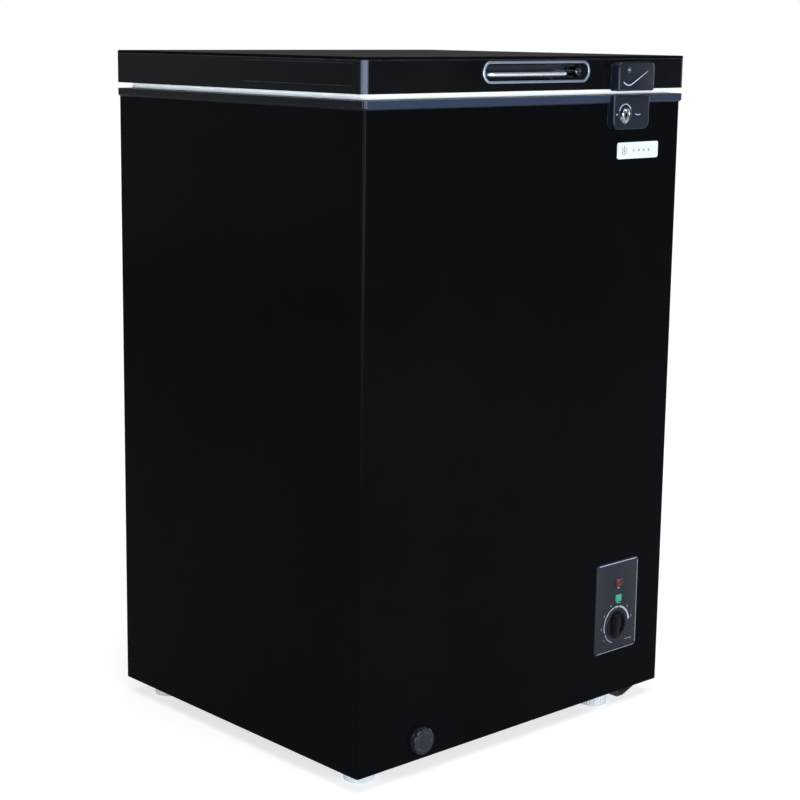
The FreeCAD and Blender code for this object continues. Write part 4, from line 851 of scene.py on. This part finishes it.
def makeKeeper():
    # its face stands back by the ridge's height, and its mouth takes the cam
    low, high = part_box("lock_keeper")
    face = low.y + lock["ridgeRadius"]
    piece = addBlock("lockKeeper", (low.x, face, low.z), high)
    edit(piece)
    pick("edges", lambda edge: runsAlong(edge, 1) and middleOf(edge).z > high.z - mm)
    bevelPicked(lock["keeperCorner"], 10)
    pick("edges", lambda edge: runsAlong(edge, 1) and middleOf(edge).z < low.z + mm)
    bevelPicked(2 * mm, 4)
    bevelAt(face, lock["faceRound"], 5)
    tidyMesh()
    keyX = (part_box("lock_barrel")[0].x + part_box("lock_barrel")[1].x) / 2
    front, back, roof = lock["mouthFront"], lock["mouthBack"], high.z - lock["mouthTopWall"]
    sideWall = lock["mouthSideWall"]
    mouth = addBlock("keeperMouth", (keyX - lock["camHalf"], front, low.z - mm),
                     (high.x - sideWall, back, roof))
    cutAway(piece, mouth)
    catch = addBlock("catchRoom", (low.x + sideWall, front, low.z + 2 * mm), (keyX, back, roof))
    cutAway(piece, catch)
    centre = (low.x + lock["dimpleAcross"], low.z + lock["dimpleUp"])
    dimple = addDisc("dimple", centre, lock["dimpleRadius"], face - mm, face + 0.8 * mm, 40)
    cutAway(piece, dimple)
    finishPiece(piece, "lid", lockPlastic, ["lock_keeper"], 40)
    stud = makeBoss("keeperStud", centre, 1.3 * mm, face + 0.3 * mm, 0.5 * mm)
    finishPiece(stud, "lid", ridgePlastic)
    sweepCentre = (centre[0], centre[1] - 5 * mm)
    ridge = makeArcRidge("keeperRidge", sweepCentre, lock["sweepRadius"], math.radians(222),
                         math.radians(84), face, lock["ridgeRadius"], lock["sweepTail"])
    finishPiece(ridge, "lid", ridgePlastic)


def makeLockRelief():
    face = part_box("lock_body")[0].y
    low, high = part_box("keyhole_cover")
    centre = ((low.x + high.x) / 2, high.z - 6.8 * mm)
    ring = makeArcRidge("keyholeRing", centre, lock["ringRadius"], math.radians(25),
                        math.radians(140), face, 0.8 * lock["ridgeRadius"])
    finishPiece(ring, "cabinet", ridgePlastic)
    dot = makeBoss("lockDot", (centre[0] - 15.5 * mm, centre[1] - mm), lock["dotRadius"], face, 0.3 * mm)
    finishPiece(dot, "cabinet", ridgePlastic)
    markAt = (centre[0] + 24 * mm, centre[1] + 9 * mm)
    mark = makeArcRidge("lockMark", markAt, 11 * mm, math.radians(238), math.radians(58),
                        face, 0.55 * mm)
    finishPiece(mark, "cabinet", ridgePlastic)


def makeDrop(name, centre, radius, tip, near, far):
    # two round bars, one small, wrapped in their convex hull
    piece = addDisc(name, centre, radius, near, far, 48)
    edit(piece)
    bpy.ops.mesh.primitive_cylinder_add(
        vertices=12, radius=tip, depth=far - near,
        location=(centre[0], (near + far) / 2, centre[1] - 1.69 * radius + tip),
        rotation=(math.pi / 2, 0, 0))
    bpy.ops.mesh.select_all(action="SELECT")
    bpy.ops.mesh.convex_hull()
    bpy.ops.mesh.dissolve_limited(angle_limit=math.radians(1))
    return piece


def makeKeyholeCover():
    low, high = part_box("keyhole_cover")
    radius = (high.x - low.x) / 2
    centre = ((low.x + high.x) / 2, high.z - radius)
    near, far = lock["coverFront"], lock["coverBack"]
    piece = makeDrop("keyholeCover", centre, radius, 0.6 * mm, near, far)
    bevelAt(near, lock["coverGirth"], 3)
    sinkFront(lock["coverRim"], lock["coverDip"])
    tidyMesh()
    rivet = addDisc("coverRivet", (centre[0], centre[1] + 4 * mm), 1.4 * mm, low.y, high.y, 24)
    combine(piece, rivet, "UNION")
    finishPiece(piece, "keyhole_flap", polishedChrome, ["keyhole_cover"], 40)
    mark = makeDrop("keyholeMark", (centre[0], centre[1] - 1.2 * mm), 1.9 * mm, 0.9 * mm,
                    near + 0.2 * mm, near + 0.5 * mm)
    tidyMesh()
    finishPiece(mark, "keyhole_flap", knobPlastic)


makeKeeper()
makeLockRelief()
makeKeyholeCover()
print("lock made")


# badge: raised rim, a frost flower and four small stars

badge = {
    "corner": 3 * mm,
    "rim": 1.0 * mm,
    "dip": 0.25 * mm,
    "flowerReach": 6.2 * mm,
    "flowerOffset": 13 * mm,
    "starReach": 2.6 * mm,
    "starPitch": 9.5 * mm,
    "stroke": 0.55 * mm,
}


def makeFlower(name, centre, reach, near, far, twigs):
    stroke = badge["stroke"]
    arm = addBlock("flowerArm", (centre[0] - stroke / 2, near, centre[1]),
                   (centre[0] + stroke / 2, far, centre[1] + reach))
    edit(arm)
    pick("faces", facing((0, 0, 1)))
    bpy.ops.transform.resize(value=(0.4, 1, 1), center_override=(centre[0], near, centre[1] + reach))
    parts = [arm]
    bpy.ops.object.mode_set(mode="OBJECT")
    if twigs:
        root = (centre[0], centre[1] + 0.55 * reach)
        for lean in (-1, 1):
            twig = addBlock("flowerTwig", (root[0] - 0.4 * stroke, near, root[1]),
                            (root[0] + 0.4 * stroke, far, root[1] + 0.38 * reach))
            parts.append(copyTurned(twig, lean * math.radians(50), root))
            bpy.data.objects.remove(twig)
    arm = joinAll(parts)
    arms = [arm] + [copyTurned(arm, math.radians(60 * turn), centre) for turn in range(1, 6)]
    flower = joinAll(arms)
    flower.name = name
    flower.data.name = name
    return flower


def makeBadge():
    low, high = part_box("badge")
    piece = addBlock("badgePlate", low, high)
    edit(piece)
    pick("edges", lambda edge: runsAlong(edge, 1))
    bevelPicked(badge["corner"], 8)
    bevelAt(low.y, 0.3 * mm, 3)
    sinkFront(badge["rim"], badge["dip"])
    tidyMesh()
    finishPiece(piece, "cabinet", badgeMetal, ["badge"], 40)
    near, far = low.y + 0.05 * mm, low.y + badge["dip"] + 0.1 * mm
    middle = (low.z + high.z) / 2
    flowerAt = low.x + badge["flowerOffset"]
    marks = [makeFlower("badgeFlower", (flowerAt, middle), badge["flowerReach"], near, far, True)]
    for i in range(4):
        at = flowerAt + 18 * mm + i * badge["starPitch"]
        marks.append(makeFlower("badgeStar", (at, middle), badge["starReach"], near, far, False))
    marks = joinAll(marks)
    marks.name = "badgeMarks"
    finishPiece(marks, "cabinet", markInk)


makeBadge()
print("badge made")


# control panel: bevelled plate, printed dial, lamps and knob

panel = {
    "corner": 4.5 * mm,
    "chamfer": 1.4 * mm,
    "bandHeight": 7 * mm,
    "trimWidth": 0.9 * mm,
    "wellWall": 1.1 * mm,
    "wellFloor": -226.4 * mm,
    "face": -233 * mm,
    "back": -230.5 * mm,
    "wellGap": 0.7 * mm,
    "bushRadius": 5 * mm,
    "printProud": 0.12 * mm,
    "dialRadius": 24.2 * mm,
    "numeralRadius": 29.5 * mm,
    "numeralHeight": 4.2 * mm,
    "numerals": 7,
    "lampMiddle": 182 * mm,
    "lampMarks": ((163.4 * mm, 5 * mm), (143.6 * mm, 4.4 * mm)),
    "markHalf": 0.4 * mm,
    "lowMarkReach": (17 * mm, 30 * mm),
    "lowMarkDrop": (23.4 * mm, 22.8 * mm),
    "lampLip": 1.3 * mm,
}

lens = {
    "corner": 1.2 * mm,
    "edge": 0.7 * mm,
    "rim": 1.1 * mm,
    "sink": 0.25 * mm,
}

knob = {
    "edge": 1.1 * mm,
    "rim": 1.4 * mm,
    "sink": 2.6 * mm,
    "floorScale": 0.94,
    "ridgeHalf": 6.2 * mm,
    "ridgeInset": 2 * mm,
    "ridgeRoot": 4 * mm,
    "ridgeScale": (0.52, 1, 0.96),
    "ridgeEdge": 1.2 * mm,
    "shaftRadius": 3.05 * mm,
    "shaftDepth": 8 * mm,
    "pointerHalf": 0.5 * mm,
    "pointerStart": 6 * mm,
    "pointerInset": 2.2 * mm,
    "pointerDepth": 0.6 * mm,
    "pointerEdge": 0.15 * mm,
}


def makeControlPanel():
    low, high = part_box("control_panel")
    back = panel["back"]
    knobLow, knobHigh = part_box("thermostat_knob")
    centre = ((knobLow.x + knobHigh.x) / 2, (knobLow.z + knobHigh.z) / 2)
    wellRadius = (knobHigh.x - knobLow.x) / 2 + panel["wellGap"]
    piece = addBlock("controlPanel", low, (high.x, back, high.z))
    edit(piece)
    pick("edges", lambda edge: runsAlong(edge, 1))
    bevelPicked(panel["corner"], 8)
    bevelAt(low.y, panel["chamfer"], 2)
    tidyMesh()
    well = addDisc("wellBody", centre, wellRadius + panel["wellWall"], back - mm,
                   panel["wellFloor"] + panel["wellWall"], 96)
    combine(piece, well, "UNION")
    room = addDisc("wellRoom", centre, wellRadius, low.y - 5 * mm, panel["wellFloor"], 96)
    cutAway(piece, room)
    bush = addDisc("bushRoom", centre, panel["bushRadius"], panel["wellFloor"] - mm,
                   panel["wellFloor"] + 5 * mm, 40)
    cutAway(piece, bush)
    for lamp in ("red_lamp", "green_lamp"):
        lampLow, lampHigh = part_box(lamp)
        lip = panel["lampLip"]
        window = addBlock("lampRoom", (lampLow.x + lip, low.y - 5 * mm, lampLow.z + lip),
                          (lampHigh.x - lip, back + 5 * mm, lampHigh.z - lip))
        cutAway(piece, window)
    finishPiece(piece, "cabinet", panelPlastic, ["control_panel"], 30)
    return centre, low.y


def makePanelTrim():
    # a navy band of painted shade under the top edge, and a thin silver painted highlight along the top,
    # right and bottom edges
    low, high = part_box("control_panel")
    near, far = low.y - panel["printProud"], low.y + 0.05 * mm
    inLine, width = panel["chamfer"], panel["trimWidth"]
    left, right = low.x + panel["corner"], high.x - panel["corner"]
    band = addBlock("panelBand", (low.x + inLine, near + 0.04 * mm, high.z - panel["bandHeight"]),
                    (high.x - inLine, far, high.z - panel["corner"] + mm))
    finishPiece(band, "cabinet", navyInk)
    lines = [
        addBlock("panelTopLine", (left, near, high.z - inLine - width), (right, far, high.z - inLine)),
        addBlock("panelFootLine", (left, near, low.z + inLine), (right, far, low.z + inLine + 0.5 * width)),
        addBlock("panelSideLine", (high.x - inLine - 0.6 * width, near, low.z + panel["corner"]),
                 (high.x - inLine, far, high.z - panel["corner"])),
    ]
    finishPiece(joinAll(lines), "cabinet", silverInk)


def arcStroke(name, centre, radius, widths, fromAngle, toAngle, near, far):
    # a flat printed band: a short bar turned about the dial's middle, growing from one width to the other
    steps = max(4, int(abs(toAngle - fromAngle) / math.radians(6)))
    turn = (toAngle - fromAngle) / steps
    middle = Vector((centre[0], (near + far) / 2, centre[1]))
    startFresh()
    bpy.ops.mesh.primitive_plane_add(size=1, location=middle + Vector((radius, 0, 0)))
    bpy.context.object.scale = (widths[0], far - near, 1)
    piece = settle(name)
    edit(piece)
    bpy.ops.transform.rotate(value=fromAngle, orient_axis="Y", center_override=middle)
    for step in range(1, steps + 1):
        bpy.ops.mesh.spin(steps=1, angle=turn, center=middle, axis=(0, 1, 0))
        angle = fromAngle + step * turn
        out = Vector((math.cos(angle), 0, math.sin(angle)))
        growth = (widths[1] / widths[0]) ** (1 / steps)
        share = Vector((1, 1, 1)) + (growth - 1) * Vector((abs(out.x), 0, abs(out.z)))
        bpy.ops.transform.resize(value=share, center_override=middle + radius * out)
    tidyMesh()
    return piece


def makeNumeral(text, centre, height, near, thick):
    startFresh()
    bpy.ops.object.text_add(location=(0, 0, 0), rotation=(0, 0, 0))
    letter = bpy.context.object
    letter.data.body = text
    letter.data.size = height
    letter.data.align_x = "CENTER"
    letter.data.align_y = "CENTER"
    letter.data.extrude = thick / 2
    letter.data.resolution_u = 3
    bpy.ops.object.convert(target="MESH")
    letter = bpy.context.object
    letter.data.transform(Matrix.Translation((centre[0], near + thick / 2, centre[1]))
                          @ Matrix.Rotation(math.pi / 2, 4, "X"))
    edit(letter)
    tidyMesh()
    return letter


def makeDialPrint(centre, face):
    near, far = face - panel["printProud"], face + 0.1 * mm
    radius = panel["dialRadius"]
    degrees = math.radians
    strokes = [
        arcStroke("dialStart", centre, radius, (0.7 * mm, 0.9 * mm), degrees(252), degrees(204), near, far),
        arcStroke("dialRise", centre, radius, (1.1 * mm, 1.7 * mm), degrees(198), degrees(104), near, far),
        arcStroke("dialTop", centre, radius, (1.9 * mm, 2.0 * mm), degrees(100), degrees(84), near, far),
        arcStroke("dialRich", centre, radius, (2.2 * mm, 3.0 * mm), degrees(79), degrees(8), near, far),
    ]
    for i in range(panel["numerals"]):
        angle = degrees(216 - i * 204 / (panel["numerals"] - 1))
        at = (centre[0] + panel["numeralRadius"] * math.cos(angle),
              centre[1] + panel["numeralRadius"] * math.sin(angle))
        strokes.append(makeNumeral(str(i + 1), at, panel["numeralHeight"], near, far - near))
    middle, markHalf = panel["lampMiddle"], panel["markHalf"]
    for level, width in panel["lampMarks"]:
        strokes.append(addBlock("lampMark", (middle - width / 2, near, level - markHalf),
                                (middle + width / 2, far, level + markHalf)))
    start, end = panel["lowMarkReach"]
    bottom, top = panel["lowMarkDrop"]
    strokes.append(addBlock("lowMark", (centre[0] + start, near, centre[1] - bottom),
                            (centre[0] + end, far, centre[1] - top)))
    dial = joinAll(strokes)
    dial.name = "dialPrint"
    dial.data.name = "dialPrint"
    finishPiece(dial, "cabinet", printInk)


def makeLens(name, node, look):
    low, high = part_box(node)
    face = panel["face"]
    piece = addBlock(name, low, (high.x, face + mm, high.z))
    edit(piece)
    pick("edges", lambda edge: runsAlong(edge, 1))
    bevelPicked(lens["corner"], 4)
    bevelAt(low.y, lens["edge"], 3)
    sinkFront(lens["rim"], lens["sink"])
    tidyMesh()
    middle = (low + high) / 2
    look = {**look, "middle": (middle.x, low.y, middle.z)}
    return finishPiece(piece, "cabinet", lensFinish(name + "Glass", look), [node], 40)


def makeKnob(centre):
    low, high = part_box("thermostat_knob")
    radius = (high.x - low.x) / 2
    rimFace = panel["face"]
    piece = addDisc("thermostatKnob", centre, radius, rimFace, high.y, 96)
    edit(piece)
    bevelAt(rimFace, knob["edge"], 4)
    sinkFront(knob["rim"], knob["sink"])
    floor = knob["floorScale"]
    bpy.ops.transform.resize(value=(floor, 1, floor), center_override=(centre[0], 0, centre[1]))
    tidyMesh()
    half, reach = knob["ridgeHalf"], radius - knob["ridgeInset"]
    ridge = addBlock("knobRidge", (centre[0] - half, low.y, centre[1] - reach),
                     (centre[0] + half, rimFace + knob["ridgeRoot"], centre[1] + reach))
    edit(ridge)
    pick("faces", forward)
    bpy.ops.transform.resize(value=knob["ridgeScale"], center_override=(centre[0], 0, centre[1]))
    bevelAt(low.y, knob["ridgeEdge"], 4)
    tidyMesh()
    combine(piece, ridge, "UNION")
    shaft = addDisc("shaftRoom", centre, knob["shaftRadius"], high.y - knob["shaftDepth"], high.y + mm, 32)
    cutAway(piece, shaft)
    finishPiece(piece, "knob", knobPlastic, ["thermostat_knob"], 35)
    thin = knob["pointerHalf"]
    pointer = addBlock("knobPointer", (centre[0] - thin, low.y, centre[1] + knob["pointerStart"]),
                       (centre[0] + thin, low.y + knob["pointerDepth"],
                        centre[1] + reach - knob["pointerInset"]))
    softenEdges(pointer, knob["pointerEdge"])
    finishPiece(pointer, "knob", printInk)


dialCentre, panelFace = makeControlPanel()
makePanelTrim()
makeDialPrint(dialCentre, panelFace)
makeLens("redLens", "red_lamp", {
    "tone": (0.07, 0.006, 0.006), "otherTone": (0.045, 0.004, 0.004), "patches": 260.0,
    "lit": (0.06, 0.008, 0.008),
    "roughness": 0.25, "drift": 0.1, "worn": (0.3, 0.06, 0.05), "wear": 0.3, "dust": 0.0, "ribs": 420.0,
    "shader": {"Emission Strength": 0.25}})
makeLens("greenLens", "green_lamp", {
    "tone": (0.014, 0.15, 0.1), "otherTone": (0.009, 0.12, 0.08), "patches": 260.0, "lit": (0.03, 0.22, 0.15),
    "roughness": 0.25, "drift": 0.1, "worn": (0.2, 0.5, 0.4), "wear": 0.3, "dust": 0.0, "ribs": 420.0,
    "shader": {"Emission Strength": 0.45}})
makeKnob(dialCentre)
print("control panel made")


# drain cap: notched rim, stepped face, socket for the spout

drainCap = {
    "notches": 10,
    "notchRadius": 3 * mm,
    "notchOut": 1.6 * mm,
    "firstNotch": math.radians(1.3),
    "edge": 1.6 * mm,
    "socketRadius": 9.05 * mm,
    "socketFloor": -236 * mm,
}


def makeDrainCap():
    low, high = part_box("drain_cap")
    centre = ((low.x + high.x) / 2, (low.z + high.z) / 2)
    radius = max(high.x - low.x, high.z - low.z) / 2
    piece = addDisc("drainCap", centre, radius, low.y, high.y, 80)
    edit(piece)
    bevelAt(low.y, drainCap["edge"], 4)
    sinkFront(3.2 * mm, 0.5 * mm)
    bpy.ops.mesh.inset(thickness=0.8 * mm, depth=0)
    push(y=-0.5 * mm)
    tidyMesh()
    socket = addDisc("capSocket", centre, drainCap["socketRadius"], drainCap["socketFloor"], high.y + mm, 48)
    cutAway(piece, socket)
    notchAt = (centre[0] + radius + drainCap["notchOut"], centre[1])
    notch = addDisc("capNotch", notchAt, drainCap["notchRadius"], low.y - mm, high.y - 2 * mm, 28)
    for i in range(drainCap["notches"]):
        angle = math.tau * i / drainCap["notches"] + drainCap["firstNotch"]
        cutAway(piece, copyTurned(notch, angle, centre))
    bpy.data.objects.remove(notch)
    finishPiece(piece, "drain_cap", capPlastic, ["drain_cap"], 35)


makeDrainCap()
print("drain cap made")


# studio: pale floor, soft light, camera

studio = {
    "floorSize": 30.0,
    "ambient": 0.16,
    "backdrop": 1.0,
    "floorNear": 0.66,
    "floorFar": 1.0,
    "floorBounce": 0.1,
    "coolTint": (0.86, 0.93, 1.0),
}


def makeFloor():
    startFresh()
    bpy.ops.mesh.primitive_plane_add(size=studio["floorSize"], location=(0, 0, 0))
    floor = settle("studioFloor")
    material = bpy.data.materials.new("floorPaper")
    material.use_nodes = True
    tree = material.node_tree
    shader = tree.nodes["Principled BSDF"]
    place = addNode(tree, "ShaderNodeTexCoord").outputs["Object"]
    tone = placeGroup(tree, patchyTone, {
        "Place": place, "Tone": (0.46, 0.46, 0.465, 1), "Other Tone": (0.44, 0.44, 0.445, 1),
        "Patches": 0.8, "Roughness": 0.9, "Drift": 0.05})
    tree.links.new(tone["Colour"], shader.inputs["Base Color"])
    tree.links.new(tone["Roughness"], shader.inputs["Roughness"])
    shader.inputs["Specular IOR Level"].default_value = 0.0
    away = addNode(tree, "ShaderNodeVectorMath", {"operation": "LENGTH"}, {0: place})
    shine = remap(tree, away.outputs["Value"], 0.6, 4.5, studio["floorNear"], studio["floorFar"])
    rays = addNode(tree, "ShaderNodeLightPath")
    extra = calc(tree, "MULTIPLY", calc(tree, "SUBTRACT", shine, studio["floorBounce"]),
                 rays.outputs["Is Camera Ray"])
    shine = calc(tree, "ADD", extra, studio["floorBounce"])
    glow = addNode(tree, "ShaderNodeCombineColor", None, {0: shine, 1: shine, 2: shine})
    tree.links.new(glow.outputs[0], shader.inputs["Emission Color"])
    shader.inputs["Emission Strength"].default_value = 1.0
    floor.data.materials.append(material)


def addSoftbox(name, place, target, width, height, strength, tint=(1, 1, 1)):
    startFresh()
    bpy.ops.object.light_add(type="AREA", location=place)
    lamp = bpy.context.object
    lamp.name = name
    lamp.data.shape = "RECTANGLE"
    lamp.data.size = width
    lamp.data.size_y = height
    lamp.data.energy = strength
    lamp.data.color = tint
    aim = Vector(target) - Vector(place)
    lamp.rotation_euler = aim.to_track_quat("-Z", "Y").to_euler()


def makeWorld():
    world = bpy.data.worlds.new("studioRoom")
    bpy.context.scene.world = world
    world.use_nodes = True
    tree = world.node_tree
    air = tree.nodes["Background"]
    rays = addNode(tree, "ShaderNodeLightPath")
    seen = calc(tree, "MULTIPLY", rays.outputs["Is Camera Ray"], studio["backdrop"] - studio["ambient"])
    tree.links.new(calc(tree, "ADD", seen, studio["ambient"]), air.inputs["Strength"])
    air.inputs["Color"].default_value = (1, 1, 1, 1)


def makeCamera():
    azimuth, elevation, roll = math.radians(-41.90), math.radians(10.756), math.radians(0.606)
    back = Vector((math.sin(azimuth) * math.cos(elevation), -math.cos(azimuth) * math.cos(elevation),
                   math.sin(elevation)))
    right = Vector((0, 0, 1)).cross(back).normalized()
    up = back.cross(right)
    across = right * math.cos(roll) + up * math.sin(roll)
    above = up * math.cos(roll) - right * math.sin(roll)
    startFresh()
    bpy.ops.object.camera_add(location=(-1.6284, -1.7432, 0.878))
    camera = bpy.context.object
    camera.rotation_euler = Matrix((across, above, back)).transposed().to_euler()
    camera.data.sensor_width = 36
    camera.data.lens = 83.94
    camera.data.shift_x = 0.05
    camera.data.shift_y = -0.025
    bpy.context.scene.camera = camera


makeFloor()
makeWorld()
makeCamera()
for name, place, width, height, strength in (
        ("overheadSoftbox", (-0.4, -0.6, 3.4), 3.6, 3.6, 120),
        ("cameraPanel", (-2.3, -2.5, 0.6), 1.3, 1.5, 85),
        ("frontPanel", (0.2, -3.1, 0.5), 2.0, 0.7, 75),
        ("leftPanel", (-3.1, 0.1, 0.5), 1.2, 0.7, 30),
        ("backLeftPanel", (-2.4, 2.5, 0.9), 1.6, 1.4, 4),
        ("rightPanel", (3.0, -0.4, 0.8), 1.4, 1.8, 40)):
    addSoftbox(name, place, (0, 0, 0.55), width, height, strength, studio["coolTint"])
bpy.context.scene.view_settings.view_transform = "Standard"
print("studio made")
